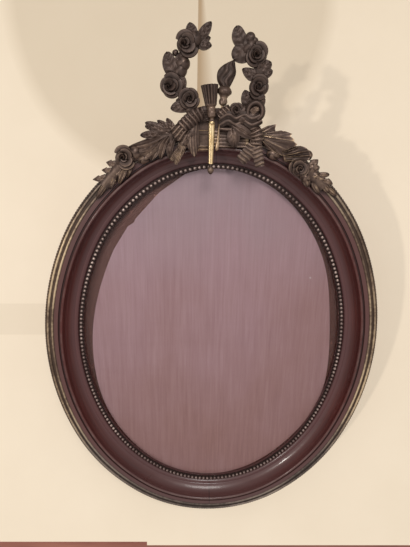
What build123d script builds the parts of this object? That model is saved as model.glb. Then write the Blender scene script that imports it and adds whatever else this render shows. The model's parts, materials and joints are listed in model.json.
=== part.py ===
from build123d import *
import os
from math import atan2, cos, degrees, radians, sin

os.makedirs("parts", exist_ok=True)

# An oval mahogany frame with a beaded sight edge, a brass outer rim and a bronze crest.
# Millimetres. X to the right, Z up, the front faces -Y and the wall is the plane y = 0.
# The origin is the point in the wall plane where the hook carries the ring.
# "Height" means the distance of a face in front of the wall.

# Bead line: the oval that the beads follow. Every other oval is a parallel of it.
bead_half_width = 150.0
bead_half_height = 195.3
shoulder_radius = 174.0
side_angle = 25.0
shoulder_angle = 55.5

# What the frame holds, from the back to the front
ledge_depth = 5.0
board_thickness = 6.0
card_thickness = 1.5
glass_thickness = 2.5
rebate_offset = 5.0
glass_clearance = 0.6
board_clearance = 0.8
card_side_margin = 9.0
card_end_margin = 5.3

# Section of the wooden moulding, across from the bead line and up from the wall
moulding_height = 36.0
lip_reach = 2.2
lip_thickness = 3.0
bead_seat_width = 5.0
ovolo_riser = 1.3
ovolo_width = 4.6
ovolo_rise = 2.5
ovolo_bulge = 0.9
quirk = 0.4
cove_width = 8.4
cove_sag = 2.2
ridge_foot_drop = 1.0
ridge_width = 3.2
ridge_rise = 1.9
ridge_outer_drop = 0.4
groove_width = 2.0
groove_depth = 1.4
groove_side = 0.6
band_width = 4.4
rim_seat_drop = 1.5
rim_seat_width = 8.7
side_wall_height = 27.0
side_batter = 3.5
ledge_width = 16.0

# Brass rim over the outer edge
rim_fit = 0.1
rim_flange_thickness = 0.8
rim_flange_end = 28.2
rim_edge_radius = 1.6
rim_web = 1.0
reed_width = 2.8
reed_rise = 1.4
reed_spacing = 4.8
reed_inset = 0.1

# Beads
bead_radius = 2.1
bead_pitch = 4.89
bead_strip_width = 4.2
bead_strip_thickness = 0.8
bead_sink = 0.7

# Joints of the wooden segments
key_offset = 14.0
key_thickness = 4.0
key_length = 24.0
key_height = 9.0
key_back = 15.5

# Turn buttons that hold the backboard
button_length = 15.0
button_width = 8.0
button_thickness = 1.4
button_offset = 12.0
button_screw_radius = 1.5
button_running_clearance = 0.06
button_head_radius = 2.8
button_head_thickness = 1.5
button_head_gap = 0.1
button_screw_length = 11.0
button_angles = (60, 12, 320, 120, 168, 220)

# Ring hanger
hanger_offset = 8.0
hanger_plate_width = 26.0
hanger_plate_length = 10.0
hanger_plate_thickness = 1.2
barrel_radius = 2.1
barrel_length = 8.0
ring_wire_radius = 1.1
ring_running_clearance = 0.06
ring_half_width = 7.0
ring_leg = 5.0
ring_corner_radius = 2.2
ring_height = 2.6
hook_radius = 2.0
hanger_screw_radius = 1.3
hanger_screw_length = 9.0
hanger_screw_spacing = 21.0
hanger_screw_head_radius = 2.0
hanger_screw_head_thickness = 1.2
hanger_screw_row_share = 0.6
notch_width = 24.0

# Fixing screws of the crest and pins of the rim
crest_screw_radius = 1.5
crest_screw_head_radius = 3.0
crest_screw_head_thickness = 1.8
crest_screw_recess = 2.4
crest_screw_bite = 2.0
crest_screw_clearance = 0.1
crest_boss_radius = 2.1
crest_lug_width = 6.0
crest_plate_screw_angles = (83, 99)
left_spray_screw_angles = (114, 127)
right_spray_screw_angles = (66, 57)
pin_radius = 0.6
pin_length = 7.0
pin_head_radius = 1.1
pin_head_thickness = 0.5
pin_height = 29.6
pin_fit = 0.05
pins_per_side = 6
pin_first_angle = 30.0

# Bronze crest. Its places are shares of crest_rise, across from the centre line and up
# from the top of the rim; the sprays follow the oval, by angle and share of moulding_reach.
crest_rise = 90.0
crest_gap = 0.2
crest_plate_thickness = 2.0
garland_thickness = 3.5
spray_thickness = 3.6
bow_thickness = 3.2
bow_fold_thickness = 1.6
quiver_axis_rise = 4.1
quiver_lean = -5.3
torch_axis_rise = 1.4
torch_lean = 6.6
flame_thickness = 6.0
shaft_thickness = 5.0
drop_axis_rise = 2.9
rivet_radius = 1.2
rivet_fit = 0.05
cut_overrun = 1.0

# Derived heights and offsets
glass_front = ledge_depth + board_thickness + card_thickness + glass_thickness
card_half_width = bead_half_width - card_side_margin
card_half_height = bead_half_height - card_end_margin
bead_seat_height = glass_front + lip_thickness
bead_seat_end = bead_seat_width - lip_reach
ovolo_end = bead_seat_end + ovolo_width
cove_start = ovolo_end + quirk
ridge_start = cove_start + cove_width
ridge_end = ridge_start + ridge_width
groove_end = ridge_end + groove_width
band_end = groove_end + band_width
wood_edge = band_end + rim_seat_width
rim_seat_height = moulding_height - rim_seat_drop
ledge_end = rebate_offset + ledge_width
ovolo_bottom = bead_seat_height + ovolo_riser
ovolo_top = ovolo_bottom + ovolo_rise
cove_bottom = ovolo_top + quirk
cove_top = moulding_height - ridge_foot_drop
rim_bore = wood_edge + rim_fit
rim_top = rim_seat_height + rim_web + reed_rise
moulding_reach = rim_bore + rim_flange_thickness + rim_edge_radius / 2
ring_drop = ring_leg + ring_half_width
hook_rise = ring_drop - ring_wire_radius - hook_radius
hanger_bar_z = bead_half_height + hanger_offset
hanger_screw_z = hanger_bar_z + hanger_plate_length * hanger_screw_row_share
centre_z = -(bead_half_height + hanger_offset + hook_rise)
crest_seat = rim_top + crest_gap
plate_front = crest_seat + crest_plate_thickness
bow_seat = plate_front + garland_thickness
quiver_axis_height = plate_front + quiver_axis_rise
torch_axis_height = plate_front + torch_axis_rise
drop_axis_height = plate_front + drop_axis_rise
rim_top_z = bead_half_height + moulding_reach

# The oval as eight tangent arcs: two sides, four shoulders and two ends.
# The side and end radii close the oval on the two half sizes.
side_cos = cos(radians(side_angle))
side_sin = sin(radians(side_angle))
shoulder_cos = cos(radians(shoulder_angle))
shoulder_sin = sin(radians(shoulder_angle))
width_left = bead_half_width - shoulder_radius * (side_cos - shoulder_cos)
height_left = bead_half_height - shoulder_radius * (shoulder_sin - side_sin)
closing = (1 - side_cos) * (1 - shoulder_sin) - side_sin * shoulder_cos
side_radius = (width_left * (1 - shoulder_sin) - height_left * shoulder_cos) / closing
end_radius = (height_left * (1 - side_cos) - width_left * side_sin) / closing
side_x = bead_half_width - side_radius
shoulder_x = side_x + (side_radius - shoulder_radius) * side_cos
shoulder_z = (side_radius - shoulder_radius) * side_sin
end_z = bead_half_height - end_radius

# Each arc: centre x, centre z, radius, first and last angle of its normal from +X
oval_arcs = [
    (side_x, 0, side_radius, -side_angle, side_angle),
    (shoulder_x, shoulder_z, shoulder_radius, side_angle, shoulder_angle),
    (0, end_z, end_radius, shoulder_angle, 180 - shoulder_angle),
    (-shoulder_x, shoulder_z, shoulder_radius, 180 - shoulder_angle, 180 - side_angle),
    (-side_x, 0, side_radius, 180 - side_angle, 180 + side_angle),
    (-shoulder_x, -shoulder_z, shoulder_radius, 180 + side_angle, 180 + shoulder_angle),
    (0, -end_z, end_radius, 180 + shoulder_angle, 360 - shoulder_angle),
    (shoulder_x, -shoulder_z, shoulder_radius, 360 - shoulder_angle, 360 - side_angle),
]


def oval_point(angle, offset):
    """Point on the parallel of the bead line at this offset, where the normal has this angle."""
    turned = (angle + side_angle) % 360 - side_angle
    x, z, radius, first, last = next(arc for arc in oval_arcs if turned <= arc[-1])
    reach = radius + offset
    return x + reach * cos(radians(turned)), z + reach * sin(radians(turned))


def front_plane(height):
    """Plane at this height above the wall, seen from the front, centred on the oval."""
    return Plane(origin=(0, -height, centre_z), x_dir=(1, 0, 0), z_dir=(0, -1, 0))


def radial_plane(angle, offset, height):
    """Plane on the front side, its x axis pointing outwards along the oval's normal."""
    x, z = oval_point(angle, offset)
    outward = (cos(radians(angle)), 0, sin(radians(angle)))
    return Plane(origin=(x, -height, centre_z + z), x_dir=outward, z_dir=(0, -1, 0))


def sweep_along_oval(draw_section, first, last):
    """Turns a section about each arc's centre, from the first to the last angle."""
    for turn in (-360, 0, 360):
        for x, z, radius, arc_first, arc_last in oval_arcs:
            start = max(first, arc_first + turn)
            end = min(last, arc_last + turn)
            if end > start:
                across = (cos(radians(start)), 0, sin(radians(start)))
                along = (sin(radians(start)), 0, -cos(radians(start)))
                centre = (x, 0, centre_z + z)
                with BuildSketch(Plane(origin=centre, x_dir=across, z_dir=along)) as section:
                    draw_section(radius)
                revolve(section.sketch, Axis(centre, (0, -1, 0)), revolution_arc=end - start)


def draw_moulding(radius):
    """Section of the wood: x from the arc's centre, y up from the wall."""
    with BuildLine() as outline:
        Line((radius + ovolo_end, ovolo_top), (radius + cove_start, cove_bottom))
        SagittaArc((radius + cove_start, cove_bottom), (radius + ridge_start, cove_top), -cove_sag)
        ThreePointArc(
            (radius + ridge_start, cove_top),
            (radius + ridge_start + ridge_width / 2, cove_top + ridge_rise),
            (radius + ridge_end, moulding_height - ridge_outer_drop),
        )
        Polyline(
            (radius + ridge_end, moulding_height - ridge_outer_drop),
            (radius + ridge_end + groove_side, moulding_height - groove_depth),
            (radius + groove_end - groove_side, moulding_height - groove_depth),
            (radius + groove_end, moulding_height),
            (radius + band_end, moulding_height),
            (radius + band_end, rim_seat_height),
            (radius + wood_edge, rim_seat_height),
            (radius + wood_edge, side_wall_height),
            (radius + wood_edge - side_batter, 0),
            (radius + ledge_end, 0),
            (radius + ledge_end, ledge_depth),
            (radius + rebate_offset, ledge_depth),
            (radius + rebate_offset, glass_front),
            (radius - lip_reach, glass_front),
            (radius - lip_reach, bead_seat_height),
            (radius + bead_seat_end, bead_seat_height),
            (radius + bead_seat_end, ovolo_bottom),
        )
        SagittaArc(
            (radius + bead_seat_end, ovolo_bottom), (radius + ovolo_end, ovolo_top), ovolo_bulge
        )
    make_face(outline.edges())


def draw_rim(radius):
    """Section of the brass rim: two reeds with a hollow between, a rolled edge and a side flange."""
    seat = rim_seat_height
    web = seat + rim_web
    inner_reed = radius + band_end + reed_inset
    outer_reed = inner_reed + reed_spacing
    flange = radius + rim_bore + rim_flange_thickness
    with BuildLine() as outline:
        Polyline((inner_reed, seat), (inner_reed, web))
        ThreePointArc(
            (inner_reed, web),
            (inner_reed + reed_width / 2, web + reed_rise),
            (inner_reed + reed_width, web),
        )
        Line((inner_reed + reed_width, web), (outer_reed, web))
        ThreePointArc(
            (outer_reed, web),
            (outer_reed + reed_width / 2, web + reed_rise),
            (outer_reed + reed_width, web),
        )
        ThreePointArc(
            (outer_reed + reed_width, web),
            (flange + rim_edge_radius / 2, seat - rim_web / 2),
            (flange, seat - rim_edge_radius * 2),
        )
        Polyline(
            (flange, seat - rim_edge_radius * 2),
            (flange, rim_flange_end),
            (radius + rim_bore, rim_flange_end),
            (radius + rim_bore, seat),
            (inner_reed, seat),
        )
    make_face(outline.edges())


def draw_bead_strip(radius):
    """Flat strip that carries the beads."""
    with Locations((radius, bead_seat_height + bead_strip_thickness / 2)):
        Rectangle(bead_strip_width, bead_strip_thickness)


def draw_oval(offset):
    """Outline of a parallel of the bead line, filled."""
    with BuildLine() as outline:
        for x, z, radius, first, last in oval_arcs:
            CenterArc((x, z), radius + offset, first, last - first)
    make_face(outline.edges())


# Places shared by holes and the screws or pins that go through them
crest_screw_offset = band_end - band_width / 2
pin_step = (180 - 2 * pin_first_angle) / (pins_per_side - 1)
pin_angles = [
    foot + pin_first_angle + step * pin_step for foot in (-90, 90) for step in range(pins_per_side)
]
screw_angles = crest_plate_screw_angles + left_spray_screw_angles + right_spray_screw_angles


def cut_screw_holes(angles, radius, offset, back, front):
    """Round holes square to the wall, between two heights."""
    for angle in angles:
        with BuildSketch(radial_plane(angle, offset, back)) as hole:
            Circle(radius)
        extrude(hole.sketch, amount=front - back, mode=Mode.SUBTRACT)


def pin_plane(angle, offset):
    """Plane square to the oval's normal, facing outwards."""
    x, z = oval_point(angle, offset)
    outward = (cos(radians(angle)), 0, sin(radians(angle)))
    return Plane(origin=(x, -pin_height, centre_z + z), x_dir=(0, -1, 0), z_dir=outward)


def cut_pin_holes(first, last):
    """Holes of the rim pins that fall between two angles."""
    for angle in pin_angles:
        if first < angle < last or first < angle + 360 < last:
            with BuildSketch(pin_plane(angle, rim_bore + rim_flange_thickness)) as hole:
                Circle(pin_radius + pin_fit)
            extrude(hole.sketch, amount=-pin_length - pin_fit, mode=Mode.SUBTRACT)


def key_box(angle, mode):
    """Hardwood key across a joint of two segments."""
    with BuildSketch(radial_plane(angle, key_offset, key_back)) as key:
        Rectangle(key_thickness, key_length)
    extrude(key.sketch, amount=key_height, mode=mode)


# Wooden moulding, in four segments butted and keyed at the top, bottom and sides
def build_moulding_segment(first, last):
    """One quarter of the moulding, with its key pockets and the holes for screws and pins."""
    sweep_along_oval(draw_moulding, first, last)
    for angle in (first, last):
        key_box(angle, Mode.SUBTRACT)
    inside = [angle for angle in button_angles if first < angle < last]
    button_hole_end = ledge_depth + button_screw_length
    cut_screw_holes(inside, button_screw_radius, button_offset, ledge_depth, button_hole_end)
    inside = [angle for angle in screw_angles if first < angle < last]
    screw_hole = crest_screw_radius + crest_screw_clearance
    head_hole = crest_screw_head_radius + crest_screw_clearance
    cut_screw_holes(inside, screw_hole, crest_screw_offset, 0, moulding_height + cut_overrun)
    cut_screw_holes(inside, head_hole, crest_screw_offset, -cut_overrun, crest_screw_recess)
    cut_pin_holes(first, last)


def cut_hanger_seat():
    """Notch through the land for the hook, and holes for the two hanger screws."""
    notch_foot = bead_half_height + rebate_offset
    notch_top = bead_half_height + wood_edge + cut_overrun
    with BuildSketch(front_plane(-cut_overrun)) as notch:
        with Locations((0, (notch_foot + notch_top) / 2)):
            Rectangle(notch_width, notch_top - notch_foot)
    extrude(notch.sketch, amount=cut_overrun + ledge_depth, mode=Mode.SUBTRACT)
    with BuildSketch(front_plane(ledge_depth)) as holes:
        with Locations((0, hanger_screw_z)):
            with GridLocations(hanger_screw_spacing, 0, 2, 1):
                Circle(hanger_screw_radius)
    extrude(holes.sketch, amount=hanger_screw_length - hanger_plate_thickness, mode=Mode.SUBTRACT)


with BuildPart() as moulding_top_right:
    build_moulding_segment(0, 90)
    cut_hanger_seat()
moulding_top_right.part.label = "moulding_top_right"
export_step(moulding_top_right.part, "parts/moulding_top_right.step")

with BuildPart() as moulding_top_left:
    build_moulding_segment(90, 180)
    cut_hanger_seat()
moulding_top_left.part.label = "moulding_top_left"
export_step(moulding_top_left.part, "parts/moulding_top_left.step")

with BuildPart() as moulding_bottom_left:
    build_moulding_segment(180, 270)
moulding_bottom_left.part.label = "moulding_bottom_left"
export_step(moulding_bottom_left.part, "parts/moulding_bottom_left.step")

with BuildPart() as moulding_bottom_right:
    build_moulding_segment(270, 360)
moulding_bottom_right.part.label = "moulding_bottom_right"
export_step(moulding_bottom_right.part, "parts/moulding_bottom_right.step")

with BuildPart() as joint_keys:
    for joint_angle in (0, 90, 180, 270):
        key_box(joint_angle, Mode.ADD)
joint_keys.part.label = "joint_keys"
export_step(joint_keys.part, "parts/joint_keys.step")

# Brass rim in two lengths, butted at the top and bottom, and its pins
with BuildPart() as rim_right:
    sweep_along_oval(draw_rim, -90, 90)
    cut_pin_holes(-90, 90)
rim_right.part.label = "rim_right"
export_step(rim_right.part, "parts/rim_right.step")

with BuildPart() as rim_left:
    sweep_along_oval(draw_rim, 90, 270)
    cut_pin_holes(90, 270)
rim_left.part.label = "rim_left"
export_step(rim_left.part, "parts/rim_left.step")

with BuildPart() as rim_pins:
    for pin_angle in pin_angles:
        with BuildSketch(pin_plane(pin_angle, rim_bore + rim_flange_thickness)) as shank:
            Circle(pin_radius)
        extrude(shank.sketch, amount=-pin_length)
        with BuildSketch(pin_plane(pin_angle, rim_bore + rim_flange_thickness)) as head:
            Circle(pin_head_radius)
        extrude(head.sketch, amount=pin_head_thickness)
rim_pins.part.label = "rim_pins"
export_step(rim_pins.part, "parts/rim_pins.step")

# Beads: a strip with round beads, evenly spaced along each quarter of the bead line
side_length = side_radius * radians(side_angle)
shoulder_length = shoulder_radius * radians(shoulder_angle - side_angle)
end_length = end_radius * radians(90 - shoulder_angle)
quarter_length = side_length + shoulder_length + end_length
beads_per_quarter = round(quarter_length / bead_pitch)
bead_height = bead_seat_height + bead_strip_thickness + bead_radius - bead_sink


def quarter_angle(distance):
    """Angle of the normal at this distance along the bead line, from the side to the top."""
    if distance < side_length:
        return degrees(distance / side_radius)
    if distance < side_length + shoulder_length:
        return side_angle + degrees((distance - side_length) / shoulder_radius)
    return shoulder_angle + degrees((distance - side_length - shoulder_length) / end_radius)


def bead_places(side):
    """Bead centres on the right (1) or left (-1) half."""
    places = []
    for step in range(beads_per_quarter):
        along = (2 * step + 1) * quarter_length / (2 * beads_per_quarter)
        x, z = oval_point(quarter_angle(along), 0)
        places.append((side * x, -bead_height, centre_z + z))
        places.append((side * x, -bead_height, centre_z - z))
    return places


with BuildPart() as beads_right:
    sweep_along_oval(draw_bead_strip, -90, 90)
    with Locations(*bead_places(1)):
        Sphere(bead_radius)
beads_right.part.label = "beads_right"
export_step(beads_right.part, "parts/beads_right.step")

with BuildPart() as beads_left:
    sweep_along_oval(draw_bead_strip, 90, 270)
    with Locations(*bead_places(-1)):
        Sphere(bead_radius)
beads_left.part.label = "beads_left"
export_step(beads_left.part, "parts/beads_left.step")

# Glass, display card and backboard, one behind the other in the rebate
with BuildPart() as glass_pane:
    with BuildSketch(front_plane(glass_front - glass_thickness)) as outline:
        draw_oval(rebate_offset - glass_clearance)
    extrude(outline.sketch, amount=glass_thickness)
glass_pane.part.label = "glass_pane"
export_step(glass_pane.part, "parts/glass_pane.step")

# The card was cut by hand, with straight snips at the upper left and one curve for the rest.
# Places in shares of its half width and half height.
card_snip_shares = [
    (-0.10, 1.012), (-0.223, 0.985), (-0.419, 0.882), (-0.603, 0.734), (-0.614, 0.713),
    (-0.662, 0.691), (-0.775, 0.559),
]
card_curve_shares = [
    (-0.775, 0.559), (-0.887, 0.354), (-0.975, 0.082), (-0.985, -0.20), (-0.91, -0.48),
    (-0.74, -0.715), (-0.49, -0.905), (-0.17, -1.015), (0.16, -1.01), (0.43, -0.925),
    (0.69, -0.76), (0.87, -0.58), (0.975, -0.38), (1.0, -0.13), (0.965, 0.186), (0.90, 0.441),
    (0.748, 0.68), (0.545, 0.855), (0.30, 0.97), (-0.10, 1.012),
]
with BuildPart() as display_card:
    with BuildSketch(front_plane(ledge_depth + board_thickness)) as outline:
        with BuildLine() as edge:
            Polyline(*[(card_half_width * x, card_half_height * z) for x, z in card_snip_shares])
            Spline([(card_half_width * x, card_half_height * z) for x, z in card_curve_shares])
        make_face()
    extrude(amount=card_thickness)
display_card.part.label = "display_card"
export_step(display_card.part, "parts/display_card.step")

with BuildPart() as backboard:
    with BuildSketch(front_plane(ledge_depth)) as outline:
        draw_oval(rebate_offset - board_clearance)
    extrude(outline.sketch, amount=board_thickness)
backboard.part.label = "backboard"
export_step(backboard.part, "parts/backboard.step")

# Turn buttons on the ledge, each on its own screw
button_back = ledge_depth - button_thickness
for number, button_angle in enumerate(button_angles, start=1):
    with BuildPart() as turn_button:
        with BuildSketch(radial_plane(button_angle, button_offset, button_back)) as blade:
            with Locations((-button_length / 2, 0)):
                SlotCenterToCenter(button_length, button_width)
            Circle(button_screw_radius + button_running_clearance, mode=Mode.SUBTRACT)
        extrude(amount=button_thickness)
    turn_button.part.label = f"turn_button_{number}"
    export_step(turn_button.part, f"parts/turn_button_{number}.step")


def add_screw(plane, shank_radius, shank_length, head_radius, head_thickness):
    """Screw driven from the back: the plane lies under its head, facing the front."""
    with BuildSketch(plane) as shank:
        Circle(shank_radius)
    extrude(shank.sketch, amount=shank_length)
    with BuildSketch(plane) as head:
        Circle(head_radius)
    extrude(head.sketch, amount=-head_thickness)


with BuildPart() as turn_button_screws:
    for button_angle in button_angles:
        add_screw(
            radial_plane(button_angle, button_offset, button_back - button_head_gap),
            button_screw_radius,
            button_thickness + button_head_gap + button_screw_length,
            button_head_radius,
            button_head_thickness,
        )
turn_button_screws.part.label = "turn_button_screws"
export_step(turn_button_screws.part, "parts/turn_button_screws.step")

# Hanger: a plate rolled into a barrel round the straight bar of the ring
hanger_back = ledge_depth - hanger_plate_thickness
bar_axis_plane = Plane(
    origin=(0, -ring_height, centre_z + hanger_bar_z), x_dir=(0, -1, 0), z_dir=(1, 0, 0)
)
with BuildPart() as hanger_plate:
    with BuildSketch(front_plane(hanger_back)) as blade:
        with Locations((0, hanger_bar_z + hanger_plate_length / 2)):
            Rectangle(hanger_plate_width, hanger_plate_length)
        with Locations((0, hanger_screw_z)):
            with GridLocations(hanger_screw_spacing, 0, 2, 1):
                Circle(hanger_screw_radius, mode=Mode.SUBTRACT)
    extrude(amount=hanger_plate_thickness)
    with BuildSketch(bar_axis_plane) as barrel:
        Circle(barrel_radius)
    extrude(amount=barrel_length / 2, both=True)
    with BuildSketch(bar_axis_plane) as barrel_bore:
        Circle(ring_wire_radius + ring_running_clearance)
    extrude(amount=hanger_plate_width, both=True, mode=Mode.SUBTRACT)
hanger_plate.part.label = "hanger_plate"
export_step(hanger_plate.part, "parts/hanger_plate.step")

with BuildPart() as hanging_ring:
    with BuildLine(front_plane(ring_height)) as ring_path:
        bar_half = ring_half_width - ring_corner_radius
        corner_z = hanger_bar_z - ring_corner_radius
        leg_end = hanger_bar_z - ring_leg
        bar = Line((-bar_half, hanger_bar_z), (bar_half, hanger_bar_z))
        JernArc(bar @ 1, bar % 1, ring_corner_radius, -90)
        Line((ring_half_width, corner_z), (ring_half_width, leg_end))
        ThreePointArc(
            (ring_half_width, leg_end), (0, leg_end - ring_half_width), (-ring_half_width, leg_end)
        )
        Line((-ring_half_width, leg_end), (-ring_half_width, corner_z))
        JernArc((-ring_half_width, corner_z), (0, 1), ring_corner_radius, -90)
    with BuildSketch(bar_axis_plane) as wire_section:
        Circle(ring_wire_radius)
    sweep(wire_section.sketch, path=ring_path.wires()[0])
hanging_ring.part.label = "hanging_ring"
export_step(hanging_ring.part, "parts/hanging_ring.step")

with BuildPart() as hanger_screws:
    with BuildSketch(front_plane(hanger_back)) as shanks:
        with Locations((0, hanger_screw_z)):
            with GridLocations(hanger_screw_spacing, 0, 2, 1):
                Circle(hanger_screw_radius)
    extrude(amount=hanger_screw_length)
    with BuildSketch(front_plane(hanger_back)) as heads:
        with Locations((0, hanger_screw_z)):
            with GridLocations(hanger_screw_spacing, 0, 2, 1):
                Circle(hanger_screw_head_radius)
    extrude(amount=-hanger_screw_head_thickness)
hanger_screws.part.label = "hanger_screws"
export_step(hanger_screws.part, "parts/hanger_screws.step")

# Crest helpers. A spot is a pair of shares: across from the centre line and up from the
# top of the rim, both of crest_rise.
def crest_spot(spot):
    """Place on the front plane of a spot of the crest."""
    across, up = spot
    return across * crest_rise, rim_top_z + up * crest_rise


def rim_spot(spot):
    """Place on the front plane of an (angle, share of moulding_reach) pair."""
    angle, share = spot
    return oval_point(angle, share * moulding_reach)


def leaf(base, tip, width):
    """Pointed leaf outline, filled."""
    base = Vector(*base)
    tip = Vector(*tip)
    middle = (base + tip) / 2
    side = (tip - base).normalized().rotate(Axis.Z, 90) * (width / 2)
    with BuildLine() as outline:
        ThreePointArc(base, middle + side, tip)
        ThreePointArc(tip, middle - side, base)
    make_face(outline.edges())


def disc(centre, radius, mode=Mode.ADD):
    """Round of this radius, filled or cut out."""
    with Locations(centre):
        Circle(radius, mode=mode)


def stem(places, width):
    """Stem of this width through the places, round at its ends and bends."""
    for start, end in zip(places, places[1:]):
        run = Vector(*end) - Vector(*start)
        angle = degrees(atan2(run.Y, run.X))
        with Locations((Vector(*start) + Vector(*end)) / 2):
            SlotCenterToCenter(run.length, width, rotation=angle)


def crest_blob(spots):
    """Straight-sided outline through spots of the crest, filled."""
    with BuildLine() as outline:
        Polyline(*[crest_spot(spot) for spot in spots], close=True)
    make_face(outline.edges())


def crest_leaf(leaf_shares):
    """Leaf between two spots of the crest, its width a share of crest_rise."""
    base, tip, width = leaf_shares
    leaf(crest_spot(base), crest_spot(tip), width * crest_rise)


def crest_disc(disc_shares):
    """Round at a spot of the crest, its radius a share of crest_rise."""
    spot, radius = disc_shares
    disc(crest_spot(spot), radius * crest_rise)


# A rose in shares of its radius: cupped outer petals, an inner ring and a bud
rose_section_shares = [
    (0, 0), (1.0, 0), (0.98, 0.20), (0.84, 0.36), (0.72, 0.32), (0.66, 0.50), (0.50, 0.58),
    (0.40, 0.48), (0.32, 0.66), (0.16, 0.74), (0, 0.70),
]


def add_rose(centre, radius, seat):
    """Rose that stands on a face at the height seat."""
    x, z = centre
    plane = Plane(origin=(x, -seat, centre_z + z), x_dir=(1, 0, 0), z_dir=(0, 0, -1))
    with BuildSketch(plane) as section:
        with BuildLine() as outline:
            Polyline(*[(radius * out, radius * up) for out, up in rose_section_shares], close=True)
        make_face(outline.edges())
    revolve(section.sketch, Axis((x, -seat, centre_z + z), (0, 1, 0)))


def leaning_plane(spot, lean, height):
    """Plane on the front side at a crest spot, its y axis leaning to the right of upright."""
    x, z = crest_spot(spot)
    across = (cos(radians(lean)), 0, -sin(radians(lean)))
    return Plane(origin=(x, -height, centre_z + z), x_dir=across, z_dir=(0, -1, 0))


def add_turned(plane, section_shares):
    """Turned piece about the plane's y axis, its section in shares of crest_rise."""
    with BuildSketch(plane) as section:
        with BuildLine() as outline:
            Polyline(*[(crest_rise * out, crest_rise * up) for out, up in section_shares], close=True)
        make_face(outline.edges())
    revolve(section.sketch, Axis(plane.origin, plane.y_dir))


def add_bosses(angles):
    """Bosses that stand on the flat band of the moulding, drilled for the crest screws."""
    for angle in angles:
        with BuildSketch(radial_plane(angle, crest_screw_offset, moulding_height)) as boss:
            Circle(crest_boss_radius)
        extrude(boss.sketch, amount=crest_seat - moulding_height)
    hole_end = crest_seat + crest_screw_bite
    cut_screw_holes(angles, crest_screw_radius, crest_screw_offset, moulding_height, hole_end)


# Base plate behind the bow, which the garlands, the quiver and the torch stand on
rivet_spot_shares = [(-0.235, 0.115), (-0.185, 0.07), (0.20, 0.075), (0.262, 0.085)]
plate_outline_shares = [
    (-0.28, -0.06), (-0.29, 0.05), (-0.25, 0.15), (-0.12, 0.19), (0.0, 0.20), (0.12, 0.19),
    (0.27, 0.13), (0.31, 0.05), (0.29, -0.04), (0.0, -0.06),
]
plate_lug_root_shares = [(0.18, 0.05), (-0.19, 0.05)]
with BuildPart() as crest_plate:
    with BuildSketch(front_plane(crest_seat)) as outline:
        crest_blob(plate_outline_shares)
        for screw_angle, lug_root in zip(crest_plate_screw_angles, plate_lug_root_shares):
            stem([oval_point(screw_angle, crest_screw_offset), crest_spot(lug_root)], crest_lug_width)
    extrude(amount=crest_plate_thickness)
    add_bosses(crest_plate_screw_angles)
    with BuildSketch(front_plane(crest_seat)) as rivet_holes:
        for spot in rivet_spot_shares:
            disc(crest_spot(spot), rivet_radius + rivet_fit)
    extrude(amount=crest_plate_thickness, mode=Mode.SUBTRACT)
crest_plate.part.label = "crest_plate"
export_step(crest_plate.part, "parts/crest_plate.step")

# Garlands: leaves, buds and a stem on a flat back, with roses standing on it.
# Leaves: base spot, tip spot and width share. Rounds: spot and radius share.
garland_left_leaf_shares = [
    ((-0.26, 0.80), (-0.098, 0.990), 0.105), ((-0.29, 0.80), (-0.302, 0.972), 0.10),
    ((-0.28, 0.80), (-0.094, 0.794), 0.10), ((-0.455, 0.50), (-0.539, 0.703), 0.095),
    ((-0.34, 0.23), (-0.496, 0.204), 0.10), ((-0.43, 0.48), (-0.345, 0.70), 0.13),
]
garland_left_round_shares = [
    ((-0.442, 0.705), 0.034), ((-0.381, 0.620), 0.070), ((-0.395, 0.43), 0.055),
    ((-0.275, 0.815), 0.075),
]
garland_left_rose_shares = [
    ((-0.342, 0.815), 0.092), ((-0.510, 0.412), 0.090), ((-0.304, 0.283), 0.094),
]
garland_left_stem_shares = [
    (-0.30, 0.80), (-0.41, 0.66), (-0.42, 0.55), (-0.46, 0.44), (-0.38, 0.31), (-0.27, 0.19),
    (-0.235, 0.115), (-0.185, 0.07),
]
garland_right_leaf_shares = [
    ((0.26, 0.78), (0.16, 0.958), 0.145), ((0.31, 0.80), (0.172, 0.678), 0.15),
    ((0.40, 0.52), (0.514, 0.645), 0.10), ((0.44, 0.50), (0.245, 0.565), 0.09),
    ((0.30, 0.20), (0.284, 0.37), 0.11), ((0.38, 0.60), (0.515, 0.60), 0.09),
]
garland_right_round_shares = [((0.319, 0.857), 0.052), ((0.447, 0.280), 0.045), ((0.33, 0.24), 0.055)]
garland_right_rose_shares = [((0.353, 0.713), 0.104), ((0.415, 0.411), 0.099)]
garland_right_stem_shares = [
    (0.26, 0.80), (0.36, 0.70), (0.41, 0.55), (0.42, 0.40), (0.40, 0.26), (0.34, 0.14), (0.262, 0.085),
    (0.20, 0.075),
]
stem_width_share = 0.05


def build_garland(leaves, rounds, roses, stem_spots):
    """One side of the wreath, standing on the base plate and open at the top."""
    with BuildSketch(front_plane(plate_front)) as outline:
        stem([crest_spot(spot) for spot in stem_spots], stem_width_share * crest_rise)
        for leaf_shares in leaves:
            crest_leaf(leaf_shares)
        for disc_shares in rounds + roses:
            crest_disc(disc_shares)
        for spot in rivet_spot_shares:
            disc(crest_spot(spot), rivet_radius + rivet_fit, Mode.SUBTRACT)
    extrude(outline.sketch, amount=garland_thickness)
    for spot, radius in roses:
        add_rose(crest_spot(spot), radius * crest_rise, bow_seat)


with BuildPart() as garland_left:
    build_garland(
        garland_left_leaf_shares,
        garland_left_round_shares,
        garland_left_rose_shares,
        garland_left_stem_shares,
    )
garland_left.part.label = "garland_left"
export_step(garland_left.part, "parts/garland_left.step")

with BuildPart() as garland_right:
    build_garland(
        garland_right_leaf_shares,
        garland_right_round_shares,
        garland_right_rose_shares,
        garland_right_stem_shares,
    )
garland_right.part.label = "garland_right"
export_step(garland_right.part, "parts/garland_right.step")

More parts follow.
